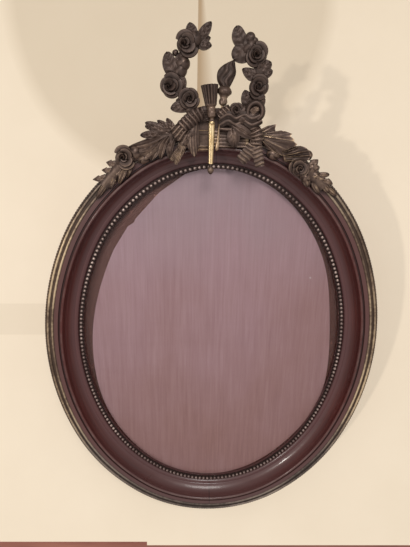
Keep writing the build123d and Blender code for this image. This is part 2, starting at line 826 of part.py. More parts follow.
with BuildPart() as crest_rivets:
    with BuildSketch(front_plane(crest_seat)) as outline:
        for spot in rivet_spot_shares:
            disc(crest_spot(spot), rivet_radius)
    extrude(amount=bow_seat - crest_seat)
crest_rivets.part.label = "crest_rivets"
export_step(crest_rivets.part, "parts/crest_rivets.step")

# Quiver: a fluted cup over a ringed collar, flat at the back where it meets the base plate
quiver_foot_shares = (-0.066, 0.055)
quiver_section_shares = [
    (0, 0), (0.022, 0), (0.027, 0.020), (0.019, 0.040), (0.043, 0.054), (0.046, 0.085), (0.040, 0.110),
    (0.046, 0.125), (0.042, 0.145), (0.055, 0.165), (0.073, 0.265), (0.090, 0.358), (0.081, 0.358),
    (0.075, 0.335), (0, 0.335),
]
with BuildPart() as quiver:
    add_turned(leaning_plane(quiver_foot_shares, quiver_lean, quiver_axis_height), quiver_section_shares)
    split(bisect_by=front_plane(plate_front), keep=Keep.TOP)
quiver.part.label = "quiver"
export_step(quiver.part, "parts/quiver.step")

# Gilt shaft below the quiver, tapering downwards, and the drop at its end
shaft_outline_shares = [(-0.100, 0.048), (-0.034, 0.048), (-0.047, -0.366), (-0.096, -0.366)]
with BuildPart() as quiver_shaft:
    with BuildSketch(front_plane(plate_front)) as outline:
        crest_blob(shaft_outline_shares)
    extrude(amount=shaft_thickness)
quiver_shaft.part.label = "quiver_shaft"
export_step(quiver_shaft.part, "parts/quiver_shaft.step")

drop_head_shares = (-0.0715, -0.366)
drop_section_shares = [
    (0, 0), (0.016, 0), (0.014, -0.022), (0.030, -0.042), (0.037, -0.064), (0.030, -0.088),
    (0.012, -0.108), (0, -0.112),
]
with BuildPart() as shaft_drop:
    add_turned(leaning_plane(drop_head_shares, 0, drop_axis_height), drop_section_shares)
shaft_drop.part.label = "shaft_drop"
export_step(shaft_drop.part, "parts/shaft_drop.step")

# Torch: a turned body that leans to the right, and its flame
torch_foot_shares = (-0.011, -0.235)
torch_section_shares = [
    (0, 0), (0.016, 0.020), (0.018, 0.100), (0.0155, 0.112), (0.0155, 0.455), (0.030, 0.475),
    (0.042, 0.500), (0.040, 0.540), (0.050, 0.560), (0.067, 0.585), (0.060, 0.610), (0.064, 0.625),
    (0.050, 0.640), (0, 0.640),
]
flame_left_shares = [(-0.055, 0.640), (-0.088, 0.700), (-0.090, 0.780), (-0.035, 0.842), (0.059, 0.906)]
flame_right_shares = [(0.059, 0.906), (0.066, 0.848), (0.068, 0.778), (0.045, 0.705), (0.040, 0.640)]
with BuildPart() as torch_body:
    add_turned(leaning_plane(torch_foot_shares, torch_lean, torch_axis_height), torch_section_shares)
    split(bisect_by=front_plane(plate_front), keep=Keep.TOP)
torch_body.part.label = "torch_body"
export_step(torch_body.part, "parts/torch_body.step")

with BuildPart() as torch_flame:
    with BuildSketch(leaning_plane(torch_foot_shares, torch_lean, plate_front)) as outline:
        with BuildLine() as edge:
            Spline([(crest_rise * across, crest_rise * up) for across, up in flame_left_shares])
            Spline([(crest_rise * across, crest_rise * up) for across, up in flame_right_shares])
            Line(
                tuple(crest_rise * share for share in flame_right_shares[-1]),
                tuple(crest_rise * share for share in flame_left_shares[0]),
            )
        make_face()
    extrude(amount=flame_thickness)
torch_flame.part.label = "torch_flame"
export_step(torch_flame.part, "parts/torch_flame.step")

# Bow: pleated ribbons in front of the garlands' feet, with a knot and tails on the right
bow_left_outline_shares = [
    (-0.140, 0.160), (-0.192, 0.230), (-0.34, 0.105), (-0.475, 0.00), (-0.465, -0.075),
    (-0.40, -0.16), (-0.32, -0.16), (-0.31, -0.05), (-0.235, 0.02), (-0.16, 0.09),
]
bow_left_tail_shares = ((-0.20, 0.13), (-0.254, -0.285), 0.125)
bow_left_fold_shares = [
    (-0.165, 0.165), (-0.195, 0.205), (-0.34, 0.085), (-0.45, 0.00), (-0.44, -0.06), (-0.30, 0.04),
]
with BuildPart() as bow_left:
    with BuildSketch(front_plane(bow_seat)) as outline:
        crest_blob(bow_left_outline_shares)
        crest_leaf(bow_left_tail_shares)
    extrude(amount=bow_thickness)
    with BuildSketch(front_plane(bow_seat + bow_thickness)) as fold:
        crest_blob(bow_left_fold_shares)
    extrude(amount=bow_fold_thickness)
bow_left.part.label = "bow_left"
export_step(bow_left.part, "parts/bow_left.step")

bow_knot_shares = [(0.040, 0.082), (-0.012, 0.182), (0.125, 0.262), (0.19, 0.12)]
bow_right_outline_shares = [
    (0.03, 0.03), (0.03, 0.10), (0.16, 0.13), (0.31, 0.15), (0.33, 0.235), (0.415, 0.245),
    (0.455, 0.15), (0.44, 0.08), (0.46, 0.02), (0.47, -0.10), (0.45, -0.20), (0.35, -0.20),
    (0.34, -0.06), (0.20, -0.01),
]
bow_rose_shares = ((0.173, 0.183), 0.062)
bow_right_tail_shares = ((0.192, 0.03), (0.192, -0.188), 0.115)
bow_inner_end_shares = [(0.36, -0.16), (0.225, -0.275), (0.255, -0.335), (0.42, -0.20)]
bow_outer_end_shares = [(0.37, -0.18), (0.42, -0.37), (0.50, -0.385), (0.45, -0.17)]
bow_curl_shares = ((0.41, -0.14), 0.05)
bow_right_fold_shares = [(0.34, 0.16), (0.345, 0.225), (0.41, 0.23), (0.435, 0.15)]
with BuildPart() as bow_right:
    with BuildSketch(front_plane(bow_seat)) as outline:
        crest_blob(bow_knot_shares)
        crest_blob(bow_right_outline_shares)
        crest_disc(bow_rose_shares)
        crest_leaf(bow_right_tail_shares)
        crest_blob(bow_inner_end_shares)
        crest_blob(bow_outer_end_shares)
    extrude(outline.sketch, amount=bow_thickness)
    bow_rose_spot, bow_rose_share = bow_rose_shares
    add_rose(crest_spot(bow_rose_spot), bow_rose_share * crest_rise, bow_seat + bow_thickness)
    with BuildSketch(front_plane(bow_seat + bow_thickness)) as fold:
        crest_disc(bow_curl_shares)
        crest_blob(bow_right_fold_shares)
    extrude(fold.sketch, amount=bow_fold_thickness)
bow_right.part.label = "bow_right"
export_step(bow_right.part, "parts/bow_right.step")

# Sprays that lie on the moulding. Leaves: base, tip and width; rounds and roses: place and radius.
# Places are (angle, share of moulding_reach); widths and radii are shares of crest_rise.
spray_left_leaf_shares = [
    ((106.5, 1.02), (112.7, 1.48), 0.085), ((108.5, 1.05), (115.8, 1.27), 0.075),
    ((109.0, 0.92), (122.4, 1.17), 0.165), ((109.5, 0.92), (116.8, 0.56), 0.12),
    ((107.5, 0.98), (115.0, 0.52), 0.09), ((105.5, 0.95), (109.9, 0.34), 0.09),
    ((125.0, 0.92), (131.2, 0.56), 0.08), ((124.0, 0.90), (128.9, 0.56), 0.065),
    ((127.9, 0.90), (129.6, 1.18), 0.09), ((129.6, 0.84), (131.5, 1.11), 0.075),
    ((131.3, 0.80), (134.9, 1.11), 0.085), ((130.5, 0.85), (133.3, 0.62), 0.06),
    ((132.5, 0.82), (137.8, 0.71), 0.065),
]
spray_left_round_shares = [((121.0, 0.90), 0.085), ((134.0, 0.84), 0.03)]
spray_left_rose_shares = [((125.0, 0.98), 0.094)]
spray_left_stem_shares = [
    (105.5, 0.95), (112.0, 0.94), (119.0, 0.93), (126.0, 0.90), (131.0, 0.83), (134.5, 0.79),
]
spray_right_leaf_shares = [
    ((75.5, 1.00), (70.8, 1.39), 0.105), ((74.5, 0.97), (64.8, 1.31), 0.12),
    ((74.5, 0.94), (61.6, 1.10), 0.15), ((74.0, 0.90), (62.4, 0.80), 0.12),
    ((55.8, 0.85), (53.4, 1.17), 0.10), ((54.0, 0.78), (51.0, 1.07), 0.10),
    ((51.5, 0.77), (48.0, 1.10), 0.08), ((50.5, 0.76), (42.2, 0.83), 0.08),
    ((51.5, 0.70), (45.3, 0.58), 0.08),
]
spray_right_round_shares = [((69.8, 0.68), 0.042), ((56.9, 1.12), 0.055)]
spray_right_rose_shares = [((59.8, 1.00), 0.105), ((56.3, 0.76), 0.080)]
spray_right_stem_shares = [
    (76.0, 0.95), (70.0, 0.90), (63.0, 0.92), (57.0, 0.88), (51.0, 0.78), (46.5, 0.76),
]
spray_stem_width_share = 0.075


def build_spray(leaves, rounds, roses, stem_spots, screw_places):
    """Leaves and roses along the moulding, on a flat back with bosses for the screws."""
    with BuildSketch(front_plane(crest_seat)) as outline:
        stem([rim_spot(spot) for spot in stem_spots], spray_stem_width_share * crest_rise)
        for base, tip, width in leaves:
            leaf(rim_spot(base), rim_spot(tip), width * crest_rise)
        for spot, radius in rounds + roses:
            disc(rim_spot(spot), radius * crest_rise)
        for angle in screw_places:
            lug_ends = [oval_point(angle, crest_screw_offset), oval_point(angle, band_end + reed_spacing)]
            stem(lug_ends, crest_lug_width)
    extrude(outline.sketch, amount=spray_thickness)
    for spot, radius in roses:
        add_rose(rim_spot(spot), radius * crest_rise, crest_seat + spray_thickness)
    add_bosses(screw_places)


with BuildPart() as spray_left:
    build_spray(
        spray_left_leaf_shares,
        spray_left_round_shares,
        spray_left_rose_shares,
        spray_left_stem_shares,
        left_spray_screw_angles,
    )
spray_left.part.label = "spray_left"
export_step(spray_left.part, "parts/spray_left.step")

with BuildPart() as spray_right:
    build_spray(
        spray_right_leaf_shares,
        spray_right_round_shares,
        spray_right_rose_shares,
        spray_right_stem_shares,
        right_spray_screw_angles,
    )
spray_right.part.label = "spray_right"
export_step(spray_right.part, "parts/spray_right.step")

# Screws driven from the back of the moulding into the base plate and the sprays
with BuildPart() as crest_screws:
    for screw_angle in screw_angles:
        add_screw(
            radial_plane(screw_angle, crest_screw_offset, crest_screw_recess),
            crest_screw_radius,
            crest_seat + crest_screw_bite - crest_screw_recess,
            crest_screw_head_radius,
            crest_screw_head_thickness,
        )
crest_screws.part.label = "crest_screws"
export_step(crest_screws.part, "parts/crest_screws.step")
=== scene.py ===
import json
import math

import bpy
import numpy as np
from mathutils import Matrix, Vector


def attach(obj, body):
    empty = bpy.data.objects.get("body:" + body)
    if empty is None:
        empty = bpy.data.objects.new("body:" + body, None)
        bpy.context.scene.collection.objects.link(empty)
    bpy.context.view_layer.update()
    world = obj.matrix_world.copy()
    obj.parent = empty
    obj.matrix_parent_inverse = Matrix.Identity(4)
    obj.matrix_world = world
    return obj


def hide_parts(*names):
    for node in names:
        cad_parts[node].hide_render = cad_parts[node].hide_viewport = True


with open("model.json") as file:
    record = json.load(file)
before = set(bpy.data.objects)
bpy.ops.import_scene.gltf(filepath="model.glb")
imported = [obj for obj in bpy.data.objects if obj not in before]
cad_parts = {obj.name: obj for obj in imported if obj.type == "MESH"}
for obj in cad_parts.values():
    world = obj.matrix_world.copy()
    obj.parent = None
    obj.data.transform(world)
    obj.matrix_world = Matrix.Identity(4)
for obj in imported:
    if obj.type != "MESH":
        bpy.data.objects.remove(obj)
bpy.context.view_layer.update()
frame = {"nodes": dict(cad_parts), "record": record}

# An oval mahogany frame with a beaded sight edge, a brass rim and a bronze crest of garlands.
# Metres. X to the right, Z up, the front faces -Y and the wall is the plane y = 0.
# "Height" means the distance of a face in front of the wall.
MM = 0.001

# The bead line, as in the solid model
bead_half_width = 150.0 * MM
bead_half_height = 195.3 * MM
shoulder_radius = 174.0 * MM
side_angle = math.radians(25.0)
shoulder_angle = math.radians(55.5)
centre_z = -212.2 * MM

# Offsets from the bead line and heights of the section
cove_start = 7.8 * MM
ridge_start = 16.2 * MM
ridge_end = 19.4 * MM
groove_end = 21.4 * MM
screw_offset = 22.6 * MM
band_end = 25.8 * MM
lug_end = band_end + 6.0 * MM
rim_bore = 34.6 * MM
rim_flange = 35.4 * MM
rim_reach = 36.2 * MM
rim_flange_foot = 28.2 * MM
rim_seat = 34.5 * MM
rim_web = 35.5 * MM
rim_top_z = bead_half_height + rim_reach
bead_flank = 20.4 * MM
bead_crown = 22.4 * MM
front_foot = 30.0 * MM
front_top = 34.0 * MM
board_face = 11.0 * MM

# Rise of the crest and heights of its layers
crest_rise = 90.0 * MM
crest_seat = 37.1 * MM
plate_front = 39.1 * MM
bow_seat = 42.6 * MM
quiver_axis = 43.2 * MM
torch_axis = 40.5 * MM
drop_axis = 42.0 * MM

# Leans of the quiver and the torch, to the right
quiver_lean = math.radians(-5.3)
torch_lean = math.radians(6.6)

# Panel and slats on the base plate
plaque_corner_shares = ((-0.250, -0.235), (-0.080, -0.008))
plaque_corner = 5.0 * MM
slat_corner_shares = ((-0.035, -0.190), (0.330, -0.005))
slat_count = 5

# The oval as tangent arcs of a quarter: centre x and z, radius, first and last angle
side_cos, side_sin = math.cos(side_angle), math.sin(side_angle)
shoulder_cos, shoulder_sin = math.cos(shoulder_angle), math.sin(shoulder_angle)
width_left = bead_half_width - shoulder_radius * (side_cos - shoulder_cos)
height_left = bead_half_height - shoulder_radius * (shoulder_sin - side_sin)
closing = (1 - side_cos) * (1 - shoulder_sin) - side_sin * shoulder_cos
side_radius = (width_left * (1 - shoulder_sin) - height_left * shoulder_cos) / closing
end_radius = (height_left * (1 - side_cos) - width_left * side_sin) / closing
side_x = bead_half_width - side_radius
shoulder_x = side_x + (side_radius - shoulder_radius) * side_cos
shoulder_z = (side_radius - shoulder_radius) * side_sin
end_z = bead_half_height - end_radius
quarter_arcs = [
    (side_x, 0.0, side_radius, 0.0, side_angle),
    (shoulder_x, shoulder_z, shoulder_radius, side_angle, shoulder_angle),
    (0.0, end_z, end_radius, shoulder_angle, math.pi / 2),
]


# A place on the front is a complex number: across from the oval's centre + up from it * 1j.
def oval_point(angle, offset):
    """Place on a parallel of the bead line, where its normal has this angle in radians."""
    across, up = math.cos(angle), math.sin(angle)
    folded = math.atan2(abs(up), abs(across))
    for x, z, radius, _, last in quarter_arcs:
        if folded <= last + 1e-9:
            break
    x = math.copysign(x, x * across) if across else x
    z = math.copysign(z, up) if up else z
    return complex(x + (radius + offset) * across, z + (radius + offset) * up)


def oval_angles(offset, pitch, first, last):
    """Angles of evenly spaced places on a parallel, between two angles a whole quarter apart."""
    quarter = []
    for _, _, radius, start, end in quarter_arcs:
        count = max(2, round((radius + offset) * (end - start) / pitch))
        quarter += [start + (end - start) * step / count for step in range(count)]
    folded = quarter + [math.pi - angle for angle in reversed(quarter[1:] + [math.pi / 2])]
    turns = folded + [angle + math.pi for angle in folded]
    turns = [angle + turn for turn in (-2 * math.pi, 0, 2 * math.pi) for angle in turns]
    inside = [angle for angle in turns if first + 1e-6 < angle < last - 1e-6]
    return [first] + sorted(set(inside)) + [last]


def crest_spot(spot):
    """Place of a spot of the crest: shares of its rise, across and up from the top of the rim."""
    return complex(spot[0] * crest_rise, rim_top_z + spot[1] * crest_rise)


def rim_spot(spot):
    """Place of a spot on the moulding: angle in degrees and share of the rim's reach."""
    return oval_point(math.radians(spot[0]), spot[1] * rim_reach)


# Materials
class Field:
    """A number or colour that varies over a surface. Arithmetic with it adds nodes to its tree."""

    def __init__(self, tree, socket):
        self.tree = tree
        self.socket = socket

    def __add__(self, other):
        return self.tree.maths("ADD", self, other)

    def __sub__(self, other):
        return self.tree.maths("SUBTRACT", self, other)

    def __rsub__(self, other):
        return self.tree.maths("SUBTRACT", other, self)

    def __mul__(self, other):
        return self.tree.maths("MULTIPLY", self, other)

    def __truediv__(self, other):
        return self.tree.maths("DIVIDE", self, other)

    def __abs__(self):
        return self.tree.maths("ABSOLUTE", self)

    def spread(self, low, high, to_low=0.0, to_high=1.0):
        """Maps the number from one range to another, held at the ends."""
        return self.tree.add("ShaderNodeMapRange", enumerate((self, low, high, to_low, to_high)))

    def tint(self, share, colour):
        """Mixes another colour into this one by a share."""
        return self.tree.add("ShaderNodeMix", {0: share, 6: self, 7: colour}, 2, data_type="RGBA")

    def ramp(self, *stops):
        """Colour for the number, from (place, colour) stops."""
        colour = self.tree.add("ShaderNodeValToRGB", {"Fac": self}, "Color")
        elements = colour.socket.node.color_ramp.elements
        while len(elements) < len(stops):
            elements.new(1.0)
        for element, (place, stop_colour) in zip(elements, stops):
            element.position = place
            element.color = (*stop_colour, 1.0)
        return colour


class Tree:
    """A material's node tree, with short calls for the nodes used here."""

    def __init__(self, name):
        self.material = bpy.data.materials.new(name)
        self.material.use_nodes = True
        self.nodes = self.material.node_tree.nodes
        self.shader = self.nodes["Principled BSDF"]
        self.place = self.add("ShaderNodeTexCoord", output="Object")

    def plug(self, socket, value):
        """Links or sets one input. A colour is given without its alpha."""
        if isinstance(value, Field):
            self.material.node_tree.links.new(value.socket, socket)
        elif socket.type == "RGBA":
            socket.default_value = (*value, 1.0)
        else:
            socket.default_value = value

    def add(self, kind, inputs=(), output=0, **settings):
        """Adds a node with these inputs, by name or number, and gives one of its outputs."""
        made = self.nodes.new(kind)
        for name, value in settings.items():
            setattr(made, name, value)
        for key, value in dict(inputs).items():
            self.plug(made.inputs[key], value)
        return Field(self, made.outputs[output])

    def maths(self, operation, *values):
        """Result of a maths node."""
        return self.add("ShaderNodeMath", enumerate(values), operation=operation)

    def axis(self, name):
        """X, Y or Z of the place on the object."""
        return self.add("ShaderNodeSeparateXYZ", {"Vector": self.place}, name)

    def noise(self, scale, detail=4.0, roughness=0.55, stretch=(1.0, 1.0, 1.0), place=None, distortion=0.0):
        """Fractal noise between 0 and 1, stretched by a scale for each axis."""
        place = place or self.add("ShaderNodeMapping", {"Vector": self.place, "Scale": stretch})
        inputs = {"Vector": place, "Scale": scale, "Detail": detail, "Roughness": roughness}
        return self.add("ShaderNodeTexNoise", inputs | {"Distortion": distortion}, "Fac")

    def hollow(self, distance):
        """How closed in a place is: 0 in the open, 1 deep in a hollow."""
        return 1.0 - self.add("ShaderNodeAmbientOcclusion", {"Distance": distance}, "AO", samples=6)

    def wear_and_highlight(self):
        """Wear of the carving, with painted highlights on its high points, as stored on its mesh."""
        return self.add("ShaderNodeAttribute", output="Fac", attribute_name="wear_and_highlight")

    def ray(self, kind):
        """1 for rays of a kind, 0 for others."""
        return self.add("ShaderNodeLightPath", output=kind)

    def set(self, **inputs):
        """Sets inputs of the main shader."""
        for name, value in inputs.items():
            self.plug(self.shader.inputs[name.replace("_", " ")], value)

    def bump(self, height, strength, distance):
        """Bumps the surface."""
        inputs = {"Height": height, "Strength": strength, "Distance": distance}
        self.set(Normal=self.add("ShaderNodeBump", inputs, "Normal"))

    def join(self, share, second):
        """Mixes another shader into the material's surface by a share."""
        shaders = (share, Field(self, self.shader.outputs[0]), second)
        joined = self.add("ShaderNodeMixShader", enumerate(shaders))
        self.plug(self.nodes["Material Output"].inputs["Surface"], joined)

    def show_front_only(self):
        """Lets the camera see the frame's back through a sheet of the stage, and the lamp behind light it."""
        back = self.add("ShaderNodeNewGeometry", output="Backfacing")
        seen = back * self.ray("Is Camera Ray")
        lit = (1.0 - back) * self.ray("Is Shadow Ray")
        self.join(seen + lit, self.add("ShaderNodeBsdfTransparent"))


def oval_coordinates(tree):
    """Offset from the bead line and distance along it, worked out from the place on the frame."""
    x, z = abs(tree.axis("X")), abs(tree.axis("Z") - centre_z)
    offset = along = None
    run = 0.0
    for arc_x, arc_z, radius, start, end in quarter_arcs:
        dx, dz = x - arc_x, z - arc_z
        here = tree.maths("SQRT", dx * dx + dz * dz) - radius
        angle = tree.maths("ARCTAN2", dz, dx)
        distance = (angle - start) * radius + run
        run += radius * (end - start)
        if offset is None:
            offset, along = here, distance
            continue
        inside = tree.maths("GREATER_THAN", angle, start)
        offset = (here - offset) * inside + offset
        along = (distance - along) * inside + along
    return offset, along


def make_mahogany():
    """French-polished mahogany: long grain along the moulding, painted shade in the groove and hollows,
    painted reflection near the beads, on the front band and towards the ends, and a ridge lighter from wear
    and a painted highlight.
    """
    tree = Tree("mahogany")
    offset, along = oval_coordinates(tree)
    depth = tree.axis("Y")
    fibres = tree.add("ShaderNodeCombineXYZ", {"X": along * 14.0, "Y": offset * 620.0, "Z": depth * 620.0})
    grain = tree.noise(1.0, 6.0, 0.6, place=fibres, distortion=0.4)
    pores = tree.noise(5.5, 3.0, 0.7, place=fibres).spread(0.60, 0.72, 0.0, 0.35)
    colour = grain.ramp(
        (0.25, (0.052, 0.010, 0.008)), (0.5, (0.080, 0.017, 0.014)), (0.78, (0.112, 0.028, 0.022))
    )
    colour = colour.tint(tree.noise(14.0, 3.0, 0.5).spread(0.35, 0.7, 0.0, 0.45), (0.040, 0.010, 0.009))
    # Painted reflection: the cove turns mauve near the beads, where it faces the front.
    reflection_by_beads = offset.spread(cove_start + 0.5 * MM, cove_start + 4 * MM, 0.55, 0.0)
    colour = colour.tint(reflection_by_beads, (0.110, 0.052, 0.054)).tint(pores, (0.016, 0.004, 0.004))
    front = depth.spread(-front_foot, -front_top)
    # Painted reflection: the flat front band outside the groove is paler and mauve.
    outside = offset.spread(ridge_end, groove_end) * front
    colour = colour.tint(outside * 0.45, (0.135, 0.072, 0.066))
    # Painted reflection: paler and greyer towards the top and bottom.
    ends = abs(tree.axis("Z") - centre_z).spread(95 * MM, 200 * MM, 0.0, 0.50)
    colour = colour.tint(ends, (0.088, 0.046, 0.045))
    # The ridge is lighter and greyer: wear, and a painted highlight that grows towards the top and bottom.
    from_ridge = abs(offset - (ridge_start + ridge_end) / 2)
    ridge_wear_and_highlight = from_ridge.spread(0.2 * MM, 1.5 * MM, 1.0, 0.0) * tree.noise(60.0, 5.0, 0.6).spread(0.42, 0.66)
    wear_and_painted_light = (ridge_wear_and_highlight + ends) * front * from_ridge.spread(0.5 * MM, 2.0 * MM, 1.0, 0.0)
    colour = colour.tint(wear_and_painted_light * 0.45, (0.19, 0.130, 0.115))
    # Painted shade: the groove is darkened on the front.
    from_groove = abs(offset - (ridge_end + groove_end) / 2)
    colour = colour.tint(from_groove.spread(0.3 * MM, 1.0 * MM, 0.7, 0.0) * front, (0.012, 0.005, 0.005))
    # Painted shade in the hollows, such as by the beads.
    colour = colour.tint(tree.hollow(5 * MM).spread(0.15, 0.65, 0.0, 0.50), (0.022, 0.009, 0.008))
    wander = tree.noise(160.0, stretch=(0.0, 1.0, 1.0)).spread(0.0, 1.0, -0.8 * MM, 0.8 * MM)
    joint = abs(tree.axis("X") + wander).spread(0.20 * MM, 0.55 * MM, 0.85, 0.0)
    scuffs = tree.noise(45.0, 6.0, 0.7, (1.0, 1.0, 2.0))
    tree.set(Base_Color=colour.tint(joint, (0.016, 0.008, 0.008)), Specular_IOR_Level=0.4)
    tree.set(Roughness=scuffs.spread(0.3, 0.75, 0.26, 0.46), Coat_Weight=0.25, Coat_Roughness=0.14)
    tree.bump(grain - pores, 0.10, 0.3 * MM)
    return tree.material


def make_rim_brass():
    """Old brass rim: gold on the reeds at left and right and grey and dull towards crest and foot as a
    painted reflection, reed crowns lighter from wear and a painted highlight, and painted shade in its
    hollows.
    """
    tree = Tree("rim_brass")
    # Painted reflection: gold at the left and right, grey towards the crest and the foot.
    reflection_middle = centre_z + 25 * MM
    reflection_at_sides = abs(tree.axis("Z") - reflection_middle).spread(95 * MM, 165 * MM, 1.0, 0.0)
    fine = tree.noise(240.0, 5.0, 0.7)
    # Reed crowns brighter: wear and a painted highlight.
    bright = tree.wear_and_highlight() * tree.noise(11.0, 4.0, 0.55).spread(0.36, 0.60, 0.35, 1.0)
    bright = bright + fine.spread(0.35, 0.75, -0.22, 0.22)
    gold = bright.ramp(
        (0.08, (0.095, 0.062, 0.046)), (0.42, (0.24, 0.165, 0.115)), (0.90, (0.78, 0.59, 0.38))
    )
    grey = bright.ramp(
        (0.08, (0.045, 0.032, 0.026)), (0.45, (0.150, 0.112, 0.092)), (1.0, (0.27, 0.215, 0.175))
    )
    # Painted shade in the hollows between the reeds.
    shut_in = tree.hollow(2 * MM).spread(0.3, 0.8, 0.0, 0.4)
    tree.set(Base_Color=grey.tint(reflection_at_sides, gold).tint(shut_in, (0.030, 0.020, 0.016)))
    tree.set(Metallic=reflection_at_sides.spread(0.0, 1.0, 0.45, 0.8), Roughness=bright.spread(0.1, 0.9, 0.58, 0.34))
    tree.bump(fine, 0.18, 0.2 * MM)
    return tree.material


def make_bead_brass():
    """Tarnished beads, brighter on their crowns and darker at their feet: tarnish and wear with a painted
    highlight and painted shade.
    """
    tree = Tree("bead_brass")
    fine = tree.noise(420.0, 4.0, 0.65)
    patches = tree.noise(25.0, 3.0, 0.5).spread(0.3, 0.7, 0.60, 1.05)
    # Painted highlight on the crowns, which face the front, and painted shade at the feet.
    bright = tree.axis("Y").spread(-bead_flank, -bead_crown) * patches + fine.spread(0.3, 0.8, -0.15, 0.15)
    colour = bright.ramp(
        (0.05, (0.055, 0.033, 0.029)), (0.50, (0.14, 0.095, 0.085)), (1.0, (0.60, 0.47, 0.415))
    )
    tree.set(Base_Color=colour, Metallic=0.55, Roughness=bright.spread(0.1, 0.9, 0.5, 0.30))
    tree.bump(fine, 0.12, 0.1 * MM)
    return tree.material


def make_bronze():
    """Brown bronze with dry grey dust, gilding showing through wear with a painted highlight on the highest
    edges, and painted shade in the hollows and towards the top.
    """
    tree = Tree("crest_bronze")
    # Edges and raised parts lighter: gilding showing through wear, and a painted highlight.
    edge = tree.add("ShaderNodeNewGeometry", output="Pointiness").spread(0.505, 0.56)
    fine = tree.noise(330.0, 6.0, 0.7)
    wear_and_painted_light = (tree.wear_and_highlight() * 0.80 + edge * 0.45) * tree.noise(38.0, 4.0, 0.6).spread(0.34, 0.66, 0.60, 1.10)
    # Painted shade: duller and darker towards the top of the crest.
    rim_top = centre_z + rim_top_z
    wear_and_painted_light = wear_and_painted_light * tree.axis("Z").spread(rim_top - 30 * MM, rim_top + 30 * MM, 1.25, 0.62)
    wear_and_painted_light = wear_and_painted_light + fine.spread(0.35, 0.75, -0.12, 0.12)
    colour = wear_and_painted_light.ramp(
        (0.04, (0.032, 0.018, 0.013)), (0.34, (0.080, 0.048, 0.036)),
        (0.60, (0.200, 0.132, 0.096)), (0.95, (0.66, 0.47, 0.29)),
    )
    colour = colour.tint(tree.noise(70.0, 4.0, 0.6).spread(0.5, 0.7, 0.0, 0.22), (0.100, 0.074, 0.064))
    # Painted shade in the hollows.
    colour = colour.tint(tree.hollow(4 * MM).spread(0.20, 0.85, 0.0, 0.85), (0.012, 0.006, 0.005))
    tree.set(Base_Color=colour, Metallic=0.45, Roughness=wear_and_painted_light.spread(0.1, 0.95, 0.50, 0.30))
    tree.bump(fine, 0.20, 0.25 * MM)
    return tree.material


def make_shaft_gilt():
    """Bright gilding with small dark losses."""
    tree = Tree("shaft_gilt")
    fine = tree.noise(260.0, 6.0, 0.7, (1.0, 1.0, 0.35))
    losses = tree.noise(120.0, 5.0, 0.65).spread(0.62, 0.72)
    gold = fine.ramp((0.3, (0.66, 0.44, 0.20)), (0.7, (0.98, 0.80, 0.50)))
    tree.set(Base_Color=gold.tint(losses, (0.10, 0.06, 0.03)), Metallic=0.75)
    tree.set(Roughness=fine.spread(0.3, 0.8, 0.24, 0.42))
    tree.bump(fine, 0.25, 0.2 * MM)
    return tree.material


def make_glass():
    """Window glass that lets light reach the card behind it."""
    tree = Tree("glass")
    tree.set(Base_Color=(0.985, 0.982, 0.980), IOR=1.47, Transmission_Weight=1.0)
    tree.set(Specular_IOR_Level=0.2, Specular_Tint=(0.30, 0.30, 0.30))
    tree.set(Roughness=tree.noise(18.0, 5.0, 0.6, (1.0, 1.0, 0.5)).spread(0.45, 0.75, 0.0, 0.045))
    clear = tree.add("ShaderNodeBsdfTransparent", {"Color": (0.945, 0.940, 0.940)})
    tree.join(tree.maths("MAXIMUM", tree.ray("Is Shadow Ray"), tree.ray("Is Diffuse Ray")), clear)
    return tree.material


def make_silk():
    """Mauve silk glued on card: fine upright threads, slubs, tone that varies at random, browner and darker
    towards the bottom and the right, greyer towards the top, and a few pale specks.
    """
    tree = Tree("silk_card")
    threads = tree.noise(1400.0, 3.0, 0.6, (1.0, 1.0, 0.02))
    slubs = tree.noise(230.0, 5.0, 0.65, (1.0, 1.0, 0.05))
    weft = tree.noise(1500.0, 2.0, 0.5, (0.04, 1.0, 1.0))
    fading = tree.noise(7.0, 4.0, 0.55, (1.0, 1.0, 0.7))
    streaks = slubs * 0.6 + threads * 0.4 + weft * 0.12
    upper = streaks.ramp(
        (0.36, (0.330, 0.198, 0.226)), (0.55, (0.383, 0.240, 0.271)), (0.74, (0.436, 0.290, 0.322))
    )
    lower = streaks.ramp(
        (0.36, (0.240, 0.120, 0.106)), (0.55, (0.280, 0.146, 0.133)), (0.74, (0.326, 0.183, 0.170))
    )
    # Browner and darker towards the bottom and the right, greyer towards the top.
    down = tree.axis("Z").spread(centre_z - 150 * MM, centre_z + 110 * MM, 0.75, 0.0)
    sideways = tree.axis("X").spread(-110 * MM, 120 * MM, -0.10, 0.25)
    browner = down + sideways + fading.spread(0.3, 0.7, -0.2, 0.3)
    greyed = tree.axis("Z").spread(centre_z + 60 * MM, centre_z + 185 * MM, 0.0, 0.6)
    tone = upper.tint(browner.spread(0.0, 1.0), lower)
    tone = tone.tint(greyed * fading.spread(0.40, 0.58), (0.36, 0.285, 0.325))
    specks = tree.noise(150.0, 1.0, 0.5).spread(0.80, 0.83, 0.0, 0.5)
    tree.set(Base_Color=tone.tint(specks, (0.65, 0.60, 0.58)), Roughness=0.55)
    tree.set(Sheen_Weight=0.30, Sheen_Roughness=0.4, Sheen_Tint=(0.85, 0.72, 0.80))
    tree.bump(streaks, 0.12, 0.2 * MM)
    return tree.material


